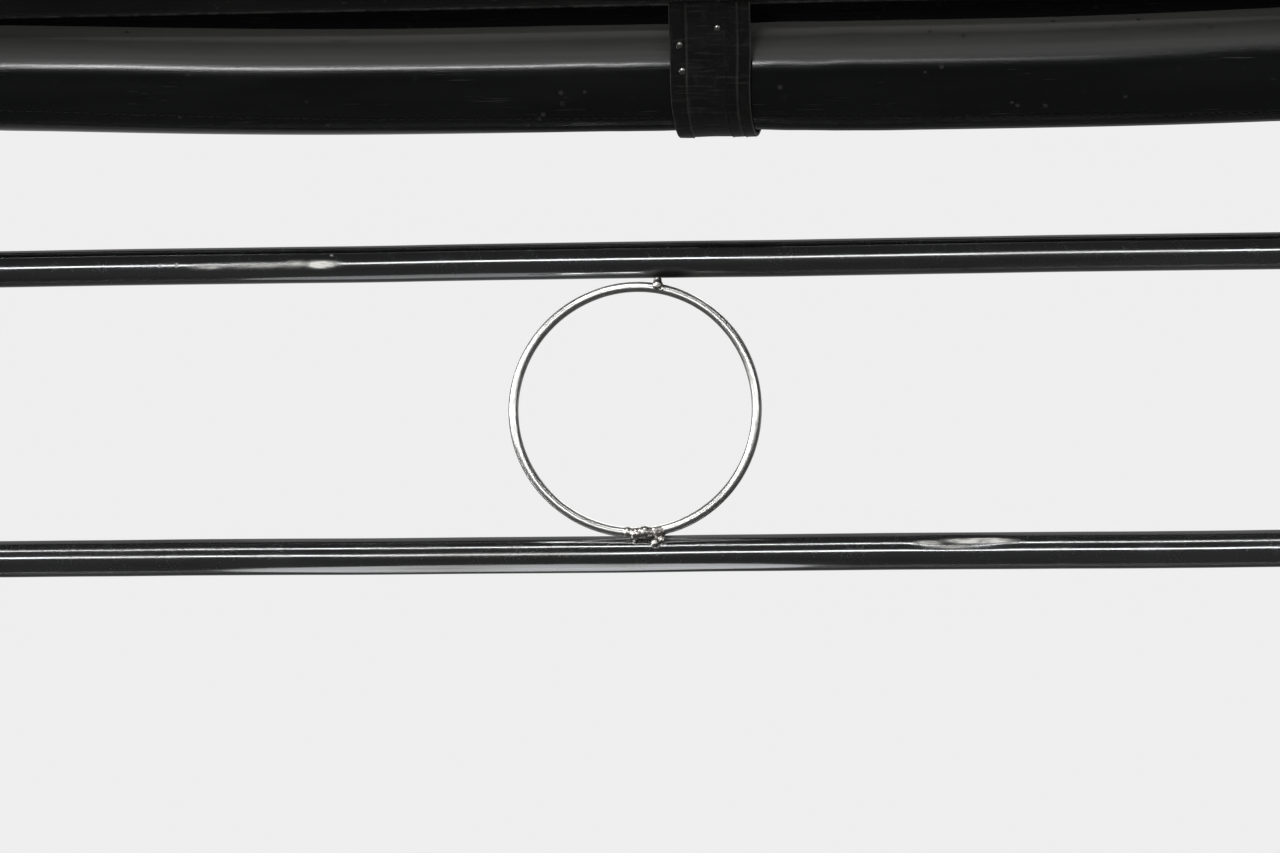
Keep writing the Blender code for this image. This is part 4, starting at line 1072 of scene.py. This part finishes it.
def strap_piece(side, look, settings):
    """One strap, its edges folded over and its waist drawn in; returns the lines that are sewn along it."""
    x, seed = STRAP_PLACES[side], STRAP_SEEDS[side]
    line = strap_line(x)
    across = np.concatenate([[0.0, 0.006, 0.02], np.linspace(0.045, 0.955, 40), [0.98, 0.994, 1.0]])
    under = np.linspace(1.0, 0.0, 16)
    length = np.concatenate([[0], np.cumsum(np.linalg.norm(np.diff(line[:, :2], axis=0), axis=1))])
    points, run, edge, top = [], [], [], []
    for row, (y, z, out_y, out_z) in enumerate(line):
        share = row / (len(line) - 1)
        width = float(strap_width_at(share))
        stray = noise.noise((length[row] * 38, seed, 0.0)) * 0.00035
        for s in across:
            rise = strap_rise(s, share, length[row], width, seed, settings)
            lean = stray + noise.noise((length[row] * 30, s + seed, 4.0)) * 0.0001
            points.append((x + (s - 0.5) * width + lean, y + out_y * rise, z + out_z * rise))
            run.append((s * width, length[row]))
            hem_edge = max(float(bell(s, place, 0.012)) for place in HEM_EDGES) * 0.55
            rubbed = max(1 - smoothstep(min(s, 1 - s) / 0.018), hem_edge)
            patchy = 0.55 + 0.45 * noise.noise((length[row] * 130, s * 4, seed))
            edge.append(float(rubbed * patchy))
            top.append((np.array(points[-1]), np.array((0, out_y, out_z))))
        for s in under:
            inner = x + (s - 0.5) * (width - EDGE_ROUNDING) + stray
            points.append((inner, y - out_y * STRAP_HALF, z - out_z * STRAP_HALF))
            run.append((s * width, length[row] + 0.2))
            edge.append(0.0)
    faces = tube_faces(len(line), len(across) + len(under))
    piece = new_piece("sewn_strap_" + side, points, faces, look, sharp=math.radians(55))
    give_run(piece, run)
    give_mask(piece, "edge", edge)
    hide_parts("strap_" + side)
    print(f"strap_{side}: {length[-1]:.3f} m long")
    seams = []
    for stitched in STRAP_STITCHES:
        column = int(np.argmin(np.abs(across - stitched)))
        spots = [top[row * len(across) + column] for row in range(2, len(line) - 16, 2)]
        seams.append([(place + way * 0.00008, way) for place, way in spots])
    return seams


# Turned fittings

TURNED_SIDES = 72


def turned_piece(name, node, profile, place, axis, look, reshape=None):
    """A profile of (radius, height) turned about its axis, closed at both ends, that stands for a CAD node."""
    laid = Vector((0, 0, 1)).rotation_difference(Vector(axis)).to_matrix()
    points = []
    for radius, height in profile:
        for side in range(TURNED_SIDES):
            angle = 2 * math.pi * side / TURNED_SIDES
            spot = Vector((radius * math.cos(angle), radius * math.sin(angle), height))
            points.append(Vector(place) + laid @ spot)
    if reshape:
        points[-TURNED_SIDES:] = [reshape(point) for point in points[-TURNED_SIDES:]]
    faces = tube_faces(len(profile), TURNED_SIDES)
    piece = new_piece(name, points, faces, look, sharp=math.radians(30))
    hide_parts(node)


def cap_profile():
    """An end cap: a plug in the tube, a bright brim with eased edges, and a low dome."""
    plug, ease, brim, dome, steps = RAIL_RADIUS - RAIL_WALL - SEAT, 0.0004, 0.0018, 0.0047, 15
    profile = [(plug - 0.0006, -0.012), (plug, -0.0114), (plug, -0.0002), (RAIL_RADIUS - ease, 0.0)]
    profile += [(RAIL_RADIUS, ease), (RAIL_RADIUS, brim)]
    for step in range(1, steps):
        angle = math.pi / 2 * step / steps
        profile.append((RAIL_RADIUS * math.cos(angle), brim + dome * math.sin(angle)))
    return profile


def pedestal_profile():
    """A rail's foot: a round flange with an eased rim, a fillet and a stem that flares at the rail."""
    flange, stem, thick, fillet, steps = 0.016, 0.0055, 0.0025, 0.003, 10
    profile = [(flange - 0.0003, 0.0), (flange, 0.0003), (flange, thick - 0.0009)]
    profile += [(flange - 0.0002, thick - 0.0003), (flange - 0.0007, thick)]
    for step in range(steps + 1):
        angle = math.pi / 2 * step / steps
        profile.append((stem + fillet * (1 - math.sin(angle)), thick + fillet * (1 - math.cos(angle))))
    profile += [(stem, 0.0125), (stem + 0.0001, 0.0135), (stem + 0.0004, 0.0147), (stem + 0.0011, 0.0160)]
    return profile


def fitting_pieces(look):
    """Every rail's end caps and feet."""
    for level, axis_z in RAIL_Z.items():
        def on_tube(point, axis_z=axis_z):
            aside = min(abs(point.z - axis_z), RAIL_RADIUS * 0.9)
            return Vector((point.x, RAIL_Y + math.sqrt((RAIL_RADIUS - SEAT) ** 2 - aside**2), point.z))
        for side, way in SIDES.items():
            end = (way * (UPPER_RAIL[1].x + SEAT), RAIL_Y, axis_z)
            turned_piece(f"end_cap_{level}_{side}", f"rail_cap_{level}_{side}", cap_profile(), end,
                         (way, 0, 0), look)
            foot = (way * POST_X, FACE_Y - SEAT, axis_z)
            turned_piece(f"foot_{level}_{side}", f"pedestal_{level}_{side}", pedestal_profile(), foot,
                         (0, -1, 0), look, on_tube)


# Fasteners: profiles of (radius, height) as shares of the head's radius

SCREW_HEAD = ((1.0, -0.05), (1.0, 0.30), (0.93, 0.46), (0.74, 0.60), (0.52, 0.66))
RIVET_HEAD = ((1.0, -0.05), (1.0, 0.10), (0.92, 0.34), (0.72, 0.56), (0.42, 0.69), (0.12, 0.72))
POP_HEAD = ((1.0, -0.05), (1.0, 0.14), (0.88, 0.36), (0.62, 0.46), (0.46, 0.47), (0.42, 0.30), (0.20, 0.27))
# The cross in a screw's head: how far its arms and the corners between them reach, and its rim and bottom
CROSS_ARM, CROSS_CORNER, CROSS_HEIGHTS = 0.46, 0.17, (0.66, 0.34)


def head_template(name, profile, crossed=False):
    """One fastener's head of a metre's radius, pointing up, for the tree to copy, with a cross or without."""
    sides = 16 if crossed else 14
    turns = [2 * math.pi * i / sides for i in range(sides)]
    points = [(radius * math.cos(a), radius * math.sin(a), height) for radius, height in profile for a in turns]
    for height in CROSS_HEIGHTS if crossed else ():
        for i, angle in enumerate(turns):
            reach = CROSS_ARM if i % 4 in (0, 1) else CROSS_CORNER
            turned = angle - math.pi / sides
            points.append((reach * math.cos(turned), reach * math.sin(turned), height))
    mesh = outward_mesh(name, points, tube_faces(len(points) // sides, sides))
    mesh.shade_smooth()
    mesh.set_sharp_from_angle(angle=math.radians(40))
    return shown(name, mesh)


def row(low, high, count, place, way):
    """Spots along the vehicle, evenly from low to high, each at (y, z) of a place and facing one way."""
    return [((float(x), *place), way) for x in np.linspace(low, high, count)]


STREET, CABIN, UP = (0, -1, 0), (0, 1, 0), (0, 0, 1)
# Where screws sit: on a foot's flange, beside a post's middle, in from a lining's edges, and on a gusset
FOOT_SCREWS, LINING_ASIDE, LINING_IN = (0.0121, (90, 210, 330)), 0.034, (0.010, 0.020)
GUSSET_SPOTS = ((0.0075, 0.0075), (0.031, 0.0045), (0.0045, 0.031))
# A strap's rivets: share of its width, height before it is lifted with the roll
STRAP_RIVETS, STRAP_WIDE = ((0.135, 0.4392), (0.165, 0.4281), (0.60, 0.4462)), 0.0352


def fastener_spots():
    """Where each kind of fastener sits: name, head, radius and spots."""
    shelf_y, lining_y = FACE_Y - 0.0015, HEADER_LINING_BOX[1].y
    batten = row(-0.385, 0.385, 9, (BATTEN_BOX[0].y, (BATTEN_BOX[0].z + BATTEN_BOX[1].z) / 2), STREET)
    shelf = row(-0.43, 0.43, 9, (shelf_y, SHELF_BOX[1].z - 0.0075), STREET)
    gutter = row(-0.435, 0.435, 11, (shelf_y, GUTTER_BOX[1].z - 0.0045), STREET)
    fascia = row(-0.44, 0.44, 12, (FASCIA_BOX[0].y + 0.0085, FASCIA_BOX[1].z), UP)
    ledge = row(-0.43, 0.43, 10, (shelf_y, LEDGE_BOX[0].z + 0.0115), STREET)
    lining, feet, gussets, straps = [], [], [], []
    for z in (HEADER_LINING_BOX[0].z + LINING_IN[0], HEADER_LINING_BOX[1].z - LINING_IN[0]):
        lining += row(-0.44, 0.44, 9, (lining_y, z), CABIN)
    heights = np.linspace(LINING_BOX[0].z + LINING_IN[1], LINING_BOX[1].z - LINING_IN[1], 5)
    for way in SIDES.values():
        for x in (way * (POST_X - LINING_ASIDE), way * (POST_X + LINING_ASIDE)):
            lining += [((x, lining_y, float(z)), CABIN) for z in heights]
        for axis_z in RAIL_Z.values():
            reach, turns = FOOT_SCREWS
            for turn in map(math.radians, turns):
                place = (way * POST_X + reach * math.cos(turn), PEDESTAL_BOX[1].y - 0.0025)
                feet.append(((*place, axis_z + reach * math.sin(turn)), STREET))
    for level, up in (("lower", 1), ("upper", -1)):
        for side, way in SIDES.items():
            low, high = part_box(f"gusset_{level}_{side}")
            corner_x, corner_z = low.x if way < 0 else high.x, low.z if up > 0 else high.z
            for along, rise in GUSSET_SPOTS:
                gussets.append(((corner_x - way * along, low.y, corner_z + up * rise), STREET))
    for x in STRAP_PLACES.values():
        lift = float(roll_height(np.array(x))) - ROLL_Z
        for share, z in STRAP_RIVETS:
            straps.append(((x + (share - 0.5) * STRAP_WIDE, STRAP_FRONT_Y + 0.0003, z + lift), STREET))
    return (
        ("batten_screws", "screw", 0.0036, batten), ("shelf_rivets", "pop", 0.0034, shelf),
        ("gutter_rivets", "pop", 0.0030, gutter), ("fascia_rivets", "pop", 0.0032, fascia),
        ("ledge_rivets", "pop", 0.0032, ledge), ("lining_screws", "screw", 0.0038, lining),
        ("foot_screws", "screw", 0.0026, feet), ("gusset_rivets", "rivet", 0.0026, gussets),
        ("strap_rivets", "rivet", 0.00165, straps),
    )


# Settings that a user would change

def size(title, told, default):
    """A length property."""
    return FloatProperty(name=title, description=told, default=default, min=0.0, subtype="DISTANCE",
                         unit="LENGTH")


def tint(title, told, default):
    """A colour property from an sRGB hex colour."""
    return FloatVectorProperty(name=title, description=told, default=linear(default), size=4, min=0.0, max=1.0,
                               subtype="COLOR")


class BAY_PG_colours(bpy.types.PropertyGroup):
    """Base colour of each finish."""

    rail: tint("Rail", "Polished stainless tube", "#B4B5B7")
    wire: tint("Ring", "Drawn steel wire", "#E2E2E0")
    weld: tint("Weld", "Weld metal as it cooled", "#CFCCC7")
    sheet: tint("Sheet", "Brushed stainless sheet", "#BEBFC0")
    # Painted shade: the header and eave are near black for the shade under the eave
    enamel: tint("Enamel", "Black enamel of the header and eave", "#121213")
    primer: tint("Primer", "Grey primer of the sill tube", "#6B6C6F")
    lining: tint("Lining", "Leathercloth of the inner panels", "#979082")
    curtain: tint("Curtain", "Smoke-tinted vinyl", "#0D0E0F")
    strap: tint("Strap", "Coated strap", "#141414")
    aluminium: tint("Batten", "Mill-finish aluminium", "#B9BABB")
    plated: tint("Fasteners", "Plated screws and rivets", "#C9C8C4")
    thread: tint("Thread", "Nylon thread", "#151515")


class BAY_PG_metal(bpy.types.PropertyGroup):
    """Rails, ring and welds."""

    rail_bend: size("Rail bend", "How far a rail's line wanders", 0.0004)
    knock_depth: size("Knock depth", "How deep the scuffs are beaten in", 0.00008)
    ring_wobble: size("Ring wobble", "How far the ring is out of flat", 0.0006)
    wire_flats: FloatProperty(name="Wire flats", description="Flats of the wire, as a share of its radius",
                              default=0.02, min=0.0, max=0.2, subtype="FACTOR")
    weld_ripple: size("Weld ripple", "Height of the ripples on the welds", 0.00010)


class BAY_PG_curtain(bpy.types.PropertyGroup):
    """The rolled curtain and its straps."""

    roll_radius: size("Roll radius", "Outside radius of the roll", 0.0245)
    roll_pitch: size("Pitch", "How far the doubled sheet is drawn in by each turn", 0.0036)
    roll_turns: FloatProperty(name="Turns", description="Turns of the doubled sheet", default=2.9, min=1.5,
                              max=5.0)
    sheet_ripple: size("Ripple", "Height of the sheet's ripples", 0.00045)
    hem_slack: size("Hem slack", "How far the free hem hangs off the roll", 0.0016)
    strap_buckle: size("Strap buckle", "Height of the straps' buckles", 0.00035)


class BAY_PG_frame(bpy.types.PropertyGroup):
    """The pressed frame and its fasteners."""

    fold_edge: size("Edge", "Rounding of the sheet's cut edges", 0.00028)
    panel_wave: size("Wave", "How far a folded sheet is out of true", 0.0003)
    screw_seed: IntProperty(name="Seed", description="Turns the screw heads at random", default=5, min=0)


class BAY_PG_stage(bpy.types.PropertyGroup):
    """Floor, lamps and camera."""

    floor_radius: size("Floor", "Radius of the floor", 60.0)
    distance: size("Distance", "From the camera to the rails", 3.0)
    yaw: FloatProperty(name="Yaw", description="How far the camera stands to the right",
                       default=math.radians(8.0), subtype="ANGLE")
    roll: FloatProperty(name="Roll", description="How far the camera is tipped", default=math.radians(-0.68),
                        subtype="ANGLE")
    lens: FloatProperty(name="Lens", description="Focal length on a 36 mm sensor", default=195.2, min=10.0)
    aim: FloatVectorProperty(name="Aim", description="Middle of the picture", default=(0.0008, RAIL_Y, 0.2765),
                             size=3, subtype="XYZ", unit="LENGTH")


# Operators

class BAY_OT_rails(bpy.types.Operator):
    """Build both guard rails with their end caps and feet"""

    bl_idname = "bay.rails"
    bl_label = "Guard rails"

    def execute(self, context):
        for level in RAIL_Z:
            rail_piece(level, finish_named("knocked_stainless"), context.scene.bay_metal)
        fitting_pieces(finish_named("polished_stainless"))
        return {"FINISHED"}


class BAY_OT_ring(bpy.types.Operator):
    """Build the wire ring between the rails"""

    bl_idname = "bay.ring"
    bl_label = "Wire ring"

    def execute(self, context):
        ring_piece(finish_named("drawn_wire"), context.scene.bay_metal)
        return {"FINISHED"}


class BAY_OT_welds(bpy.types.Operator):
    """Build the ring's weld and its two tacks"""

    bl_idname = "bay.welds"
    bl_label = "Welds"

    def execute(self, context):
        for name in WELD_BEADS:
            weld_piece(name, finish_named("weld_metal"), context.scene.bay_metal)
        return {"FINISHED"}


class BAY_OT_curtain(bpy.types.Operator):
    """Wind the rain curtain and sew its hem"""

    bl_idname = "bay.curtain"
    bl_label = "Rain curtain"

    def execute(self, context):
        piece, middle, normal, length = curtain_piece(finish_named("smoke_vinyl"), context.scene.bay_curtain)
        sewn = hem_stitches(middle, normal, length)
        return {"FINISHED"}


class BAY_OT_straps(bpy.types.Operator):
    """Build the three straps and sew their folds"""

    bl_idname = "bay.straps"
    bl_label = "Straps"

    def execute(self, context):
        look, settings = finish_named("strap_vinyl"), context.scene.bay_curtain
        lines = [line for side in STRAP_PLACES for line in strap_piece(side, look, settings)]
        stitches("strap_stitches", lines, 0.0032, 0.00042)
        return {"FINISHED"}


class BAY_OT_frame(bpy.types.Operator):
    """Dress the sill, posts, header, eave, gutter, gussets, linings and batten"""

    bl_idname = "bay.frame"
    bl_label = "Pressed frame"

    def execute(self, context):
        settings = context.scene.bay_frame
        edge, wave = settings.fold_edge, settings.panel_wave
        # Each piece: node, finish, slot, rounding, how often it is cut along its length, wave
        rows = [
            ("sill_tube", "grey_primer", "primer_steel", 0.0, 0.02, 0.0),
            ("sill_ledge", "brushed_sheet_along", "sheet_stainless", edge, 0.02, wave),
            ("header_channel", "black_enamel", "black_enamel", edge, 0.02, 0.0),
            ("eave_shelf", "black_enamel", "black_enamel", edge, 0.02, 0.0),
            ("eave_fascia", "black_enamel", "black_enamel", edge, 0.015, wave),
            ("rain_gutter", "black_enamel", "black_enamel", edge, 0.02, 0.0),
            ("header_lining", "lining_vinyl", "lining_vinyl", 0.0, 0.03, 0.0),
            ("curtain_batten", "mill_aluminium", "mill_aluminium", 0.0, 0.02, 0.0),
        ]
        rows += [("post_" + side, "brushed_sheet_upright", "sheet_stainless", edge, 0.0, 0.0) for side in SIDES]
        rows += [("post_lining_" + side, "lining_vinyl", "lining_vinyl", 0.0, 0.0, 0.0) for side in SIDES]
        rows += [
            (f"gusset_{level}_{side}", "brushed_sheet_along", "sheet_stainless", edge, 0.0, 0.0)
            for level in RAIL_Z for side in SIDES
        ]
        for seed, (node, finish, slot, bevel, step, wander) in enumerate(rows):
            dressed_copy(node, finish_named(finish), bevel, step, wander, seed)
        return {"FINISHED"}


class BAY_OT_fasteners(bpy.types.Operator):
    """Set the screws and rivets in rows over the frame, feet, gussets and straps"""

    bl_idname = "bay.fasteners"
    bl_label = "Screws and rivets"

    def execute(self, context):
        heads = {
            "screw": head_template("screw_head", SCREW_HEAD, crossed=True),
            "rivet": head_template("rivet_head", RIVET_HEAD),
            "pop": head_template("pop_head", POP_HEAD),
        }
        tree, look = fastener_tree(), finish_named("plated_steel")
        for name, head, radius, spots in fastener_spots():
            values = {"Size": radius, "Size spread": radius * 0.03, "Seed": context.scene.bay_frame.screw_seed,
                      "Fastener": heads[head], "Finish": look}
            run_tree(name, tree, guide(spots), values, look)
        for template in heads.values():
            bpy.data.objects.remove(template)
        return {"FINISHED"}


# Stage

# How pale the surroundings are where the camera sees them
PALE = 0.86
# Pieces by how their names start, in the groups that lamps light
VINYL = ("rain_curtain", "curtain_hem", "sewn_strap", "strap_stitches")
ROLL, WIRE = ("rain_curtain",), ("wire_ring", "bead_")
FRAME = ("end_cap", "foot_", "dressed_post", "dressed_gusset", "dressed_sill", "ledge_rivets", "gusset_rivets")
OVERHEAD = ("dressed_header", "dressed_rain", "dressed_eave_shelf", "shelf_rivets", "gutter_rivets")
SCREWED = ("dressed_curtain", "batten_screws", "lining_screws", "strap_rivets")
ENAMELLED = ("dressed_header", "dressed_eave", "dressed_rain", "shelf_rivets", "gutter_rivets", "fascia_rivets")
DARK = (*ENAMELLED, *SCREWED)
NOTHING = ("nothing",)


def chosen(name, starts):
    """The pieces whose names start in one of these ways, as a collection that a lamp lights or is shaded by."""
    held = bpy.data.collections.new(name)
    for piece in bpy.data.objects:
        if piece.name.startswith(starts):
            held.objects.link(piece)
    return held


def lay_lamp(name, place, way, wide, tall, power, lights, shaded_by=None):
    """A soft box that shines against its way on chosen pieces; the camera doesn't see it."""
    data = bpy.data.lights.new(name, "AREA")
    data.shape, data.size, data.size_y, data.energy = "RECTANGLE", wide, tall, power
    lamp = shown(name, data)
    lamp.location = place
    lamp.rotation_mode = "QUATERNION"
    lamp.rotation_quaternion = Vector(way).to_track_quat("Z", "Y")
    lamp.visible_camera = False
    lamp.light_linking.receiver_collection = chosen("lit_by_" + name, lights)
    if shaded_by is not None:
        lamp.light_linking.blocker_collection = chosen("shading_" + name, shaded_by)
    return lamp


def strip_lamp(name, azimuth, elevation, distance, wide, tall, power, aim, lights, shaded_by=None):
    """A soft box out in the street, aimed at the bay."""
    a, e = math.radians(azimuth), math.radians(elevation)
    way = Vector((math.sin(a) * math.cos(e), -math.cos(a) * math.cos(e), math.sin(e)))
    lay_lamp(name, Vector(aim) + way * distance, way, wide, tall, power, lights, shaded_by)


def card_lamp(name, place, wide, tall, power, lights, shape="ELLIPSE"):
    """A pale card that lies under a piece and shows in its underside, shaded by nothing."""
    lay_lamp(name, place, (0, 0, -1), wide, tall, power, lights, NOTHING).data.shape = shape


class BAY_OT_stage(bpy.types.Operator):
    """Set the floor, the lamps, the pale surroundings and the camera"""

    bl_idname = "bay.stage"
    bl_label = "Stage"

    def execute(self, context):
        stage = context.scene.bay_stage
        self.lay_floor(stage)
        self.light_up()
        self.surround()
        self.place_camera(stage)
        context.scene.view_settings.view_transform = "Standard"
        return {"FINISHED"}

    def lay_floor(self, stage):
        """A pale painted floor under the sill, pale as its surroundings far off and dark in polished metal."""
        it = Finish("painted_floor", {"IOR": 1.45})
        it.lay(it.patches((400, 400, 400), 1, 0.40, 0.70), "#D3D3D1", 0.9, 0.05)
        made, tree = it.done(linear("#D9D9D7"), 0.85), it.tree
        rays = put(tree, "ShaderNodeLightPath").outputs
        away = put(tree, "ShaderNodeVectorMath", {0: it.place}, operation="LENGTH").outputs["Value"]
        far = put(tree, RANGE, {0: away, 1: 0.60, 2: 1.45}, **EASED)
        pale = put(tree, "ShaderNodeEmission", {"Strength": PALE})
        seen_far = it.mask((far, rays["Is Camera Ray"]))
        spread = put(tree, "ShaderNodeMixShader", {0: seen_far, 1: it.shader, 2: pale})
        depth = put(tree, "ShaderNodeSeparateXYZ", {0: it.place}).outputs["Y"]
        behind = put(tree, RANGE, {0: depth, 1: -0.1, 2: 1.2, 3: 0.045, 4: 0.30}, **EASED)
        in_metal = put(tree, "ShaderNodeEmission", {"Strength": behind})
        whole = put(tree, "ShaderNodeMixShader", {0: rays["Is Glossy Ray"], 1: spread, 2: in_metal})
        tree.links.new(whole.outputs[0], tree.nodes["Material Output"].inputs["Surface"])
        sides, z = 96, SILL_BOX[0].z - 0.0002
        turns = [2 * math.pi * i / sides for i in range(sides)]
        corners = [(stage.floor_radius * math.cos(a), stage.floor_radius * math.sin(a), z) for a in turns]
        mesh = bpy.data.meshes.new("floor")
        mesh.from_pydata(corners, [], [tuple(range(sides))])
        mesh.materials.append(made)
        shown("floor", mesh)

    def light_up(self):
        """Strips draw the lines along rails, ring and roll, a sky the vinyl's dust, and soft boxes the rest.

        A lamp's numbers are its azimuth and elevation in degrees, its distance, width, height and watts.
        """
        aim, roll_aim = (0.0, RAIL_Y, 0.30), (0.0, ROLL_Y, ROLL_Z)
        strip_lamp("low_strip", 0, 6.0, 4.2, 12.0, 0.40, 66, aim, ("guard_rail", *WIRE))
        strip_lamp("high_strip", 0, 52, 3.4, 7.0, 0.14, 26, (-0.6, RAIL_Y, 0.30), ("guard_rail_lower", *WIRE))
        strip_lamp("ring_strip", 0, 4.0, 4.2, 12.0, 0.90, 58, aim, WIRE)
        strip_lamp("roll_strip", 0, 28, 3.4, 1.36, 0.15, 17, (-1.09, ROLL_Y, ROLL_Z), ROLL)
        strip_lamp("roll_strip_far", 0, 28, 3.4, 0.30, 0.15, 0.7, (-0.25, ROLL_Y, ROLL_Z), ROLL)
        strip_lamp("sky", 0, 66, 3.0, 7.0, 3.0, 42, aim, (*VINYL, "strap_rivets"), VINYL)
        strip_lamp("left_side", -64, 10, 3.0, 1.6, 1.2, 75, aim, ("guard_rail", *WIRE))
        strip_lamp("left_end", -90, 3, 2.5, 1.2, 1.2, 25, roll_aim, ROLL)
        strip_lamp("right_end", 90, 3, 2.5, 1.2, 1.2, 25, roll_aim, ROLL)
        strip_lamp("frame_sky", 0, 40, 3.6, 7.0, 5.0, 60, aim, (*FRAME, *OVERHEAD))
        card_lamp("frame_card", (0, -1.5, 0.02), 5.0, 2.6, 13, (*FRAME, *OVERHEAD), "RECTANGLE")
        strip_lamp("key", -25, 48, 4.0, 1.6, 1.6, 50, aim, (*WIRE, *FRAME, *SCREWED))
        strip_lamp("eave_key", -25, 48, 4.0, 1.6, 1.6, 6, aim, DARK)
        strip_lamp("back_fill", 180, 35, 4.0, 3.0, 2.0, 50, aim, (*ROLL, "sewn_strap", *WIRE, *FRAME, *DARK))
        strip_lamp("floor_light", 0, 88, 4.0, 5.0, 5.0, 160, (0.0, 0.2, 0.0), ("floor",))
        card_lamp("lower_rail_card", (-0.078, RAIL_Y + 0.004, 0.062), 0.27, 0.19, 0.10, ("guard_rail_lower",))
        card_lamp("upper_rail_card", (-0.095, RAIL_Y + 0.006, 0.235), 0.20, 0.068, 0.010, ("guard_rail_upper",))
        card_lamp("roll_card", (-0.085, ROLL_Y + 0.048, 0.20), 0.56, 0.030, 0.09, ROLL)

    def surround(self):
        """Pale to the camera all round and to polished metal behind the bay, dark to it on the street side."""
        world = bpy.data.worlds.new("surroundings")
        bpy.context.scene.world = world
        world.use_nodes = True
        tree = world.node_tree
        tree.nodes.clear()
        rays = put(tree, "ShaderNodeLightPath").outputs
        way = put(tree, "ShaderNodeSeparateXYZ", {0: put(tree, "ShaderNodeTexCoord").outputs["Generated"]})
        behind = put(tree, RANGE, {0: way.outputs["Y"], 1: 0.05, 2: 0.6}, **EASED)
        seen_in_metal = put(tree, MATH, {0: behind, 1: 0.16}, operation="MULTIPLY")
        street = put(tree, MATH, {0: seen_in_metal, 1: 0.03})
        soft = put(tree, MIX, {0: rays["Is Glossy Ray"], 2: 0.30, 3: street}, data_type="FLOAT")
        clear = {0: rays["Is Camera Ray"], 1: rays["Is Transmission Ray"]}
        clear = put(tree, MATH, clear, operation="MAXIMUM")
        level = put(tree, MIX, {0: clear, 2: soft, 3: PALE}, data_type="FLOAT")
        lit = put(tree, "ShaderNodeBackground", {"Color": linear("#FFFFFF"), "Strength": level})
        put(tree, "ShaderNodeOutputWorld", {0: lit})

    def place_camera(self, stage):
        """A long lens square to the rails, a little to the right of them."""
        data = bpy.data.cameras.new("camera")
        data.lens, data.sensor_width, data.sensor_fit = stage.lens, 36.0, "HORIZONTAL"
        data.clip_start, data.clip_end = 0.05, 200.0
        camera = shown("camera", data)
        away = Vector((math.sin(stage.yaw), -math.cos(stage.yaw), 0.0028))
        camera.location = Vector(stage.aim) + away * stage.distance
        camera.rotation_mode = "QUATERNION"
        tipped = Matrix.Rotation(stage.roll, 4, "Z").to_quaternion()
        camera.rotation_quaternion = away.to_track_quat("Z", "Y") @ tipped
        bpy.context.scene.camera = camera


class BAY_PT_panel(bpy.types.Panel):
    """Lists the bay's settings and steps"""

    bl_idname = "BAY_PT_panel"
    bl_label = "Window bay"
    bl_space_type = "VIEW_3D"
    bl_region_type = "UI"
    bl_category = "Window bay"

    def draw(self, context):
        for title, (attribute, group) in GROUPS.items():
            box = self.layout.box()
            box.label(text=title)
            for name in group.__annotations__:
                box.prop(getattr(context.scene, attribute), name)
        for operator in OPERATORS:
            self.layout.operator(operator.bl_idname)


GROUPS = {
    "Colours": ("bay_colours", BAY_PG_colours),
    "Metal": ("bay_metal", BAY_PG_metal),
    "Curtain": ("bay_curtain", BAY_PG_curtain),
    "Frame": ("bay_frame", BAY_PG_frame),
    "Stage": ("bay_stage", BAY_PG_stage),
}
OPERATORS = (
    BAY_OT_rails, BAY_OT_ring, BAY_OT_welds, BAY_OT_straps, BAY_OT_frame, BAY_OT_curtain, BAY_OT_fasteners,
    BAY_OT_stage,
)


def register():
    """Makes Blender know the settings, steps and panel."""
    for attribute, group in GROUPS.values():
        bpy.utils.register_class(group)
        setattr(bpy.types.Scene, attribute, bpy.props.PointerProperty(type=group))
    for made in (*OPERATORS, BAY_PT_panel):
        bpy.utils.register_class(made)


def unregister():
    """Takes them away again."""
    for made in (BAY_PT_panel, *reversed(OPERATORS)):
        bpy.utils.unregister_class(made)
    for attribute, group in GROUPS.values():
        delattr(bpy.types.Scene, attribute)
        bpy.utils.unregister_class(group)


def main():
    """Builds everything in order and writes how large it came out."""
    register()
    for operator in OPERATORS:
        area, step = operator.bl_idname.split(".")
        if getattr(getattr(bpy.ops, area), step)() != {"FINISHED"}:
            raise RuntimeError(f"{operator.bl_label} did not finish")


if __name__ == "__main__":
    main()
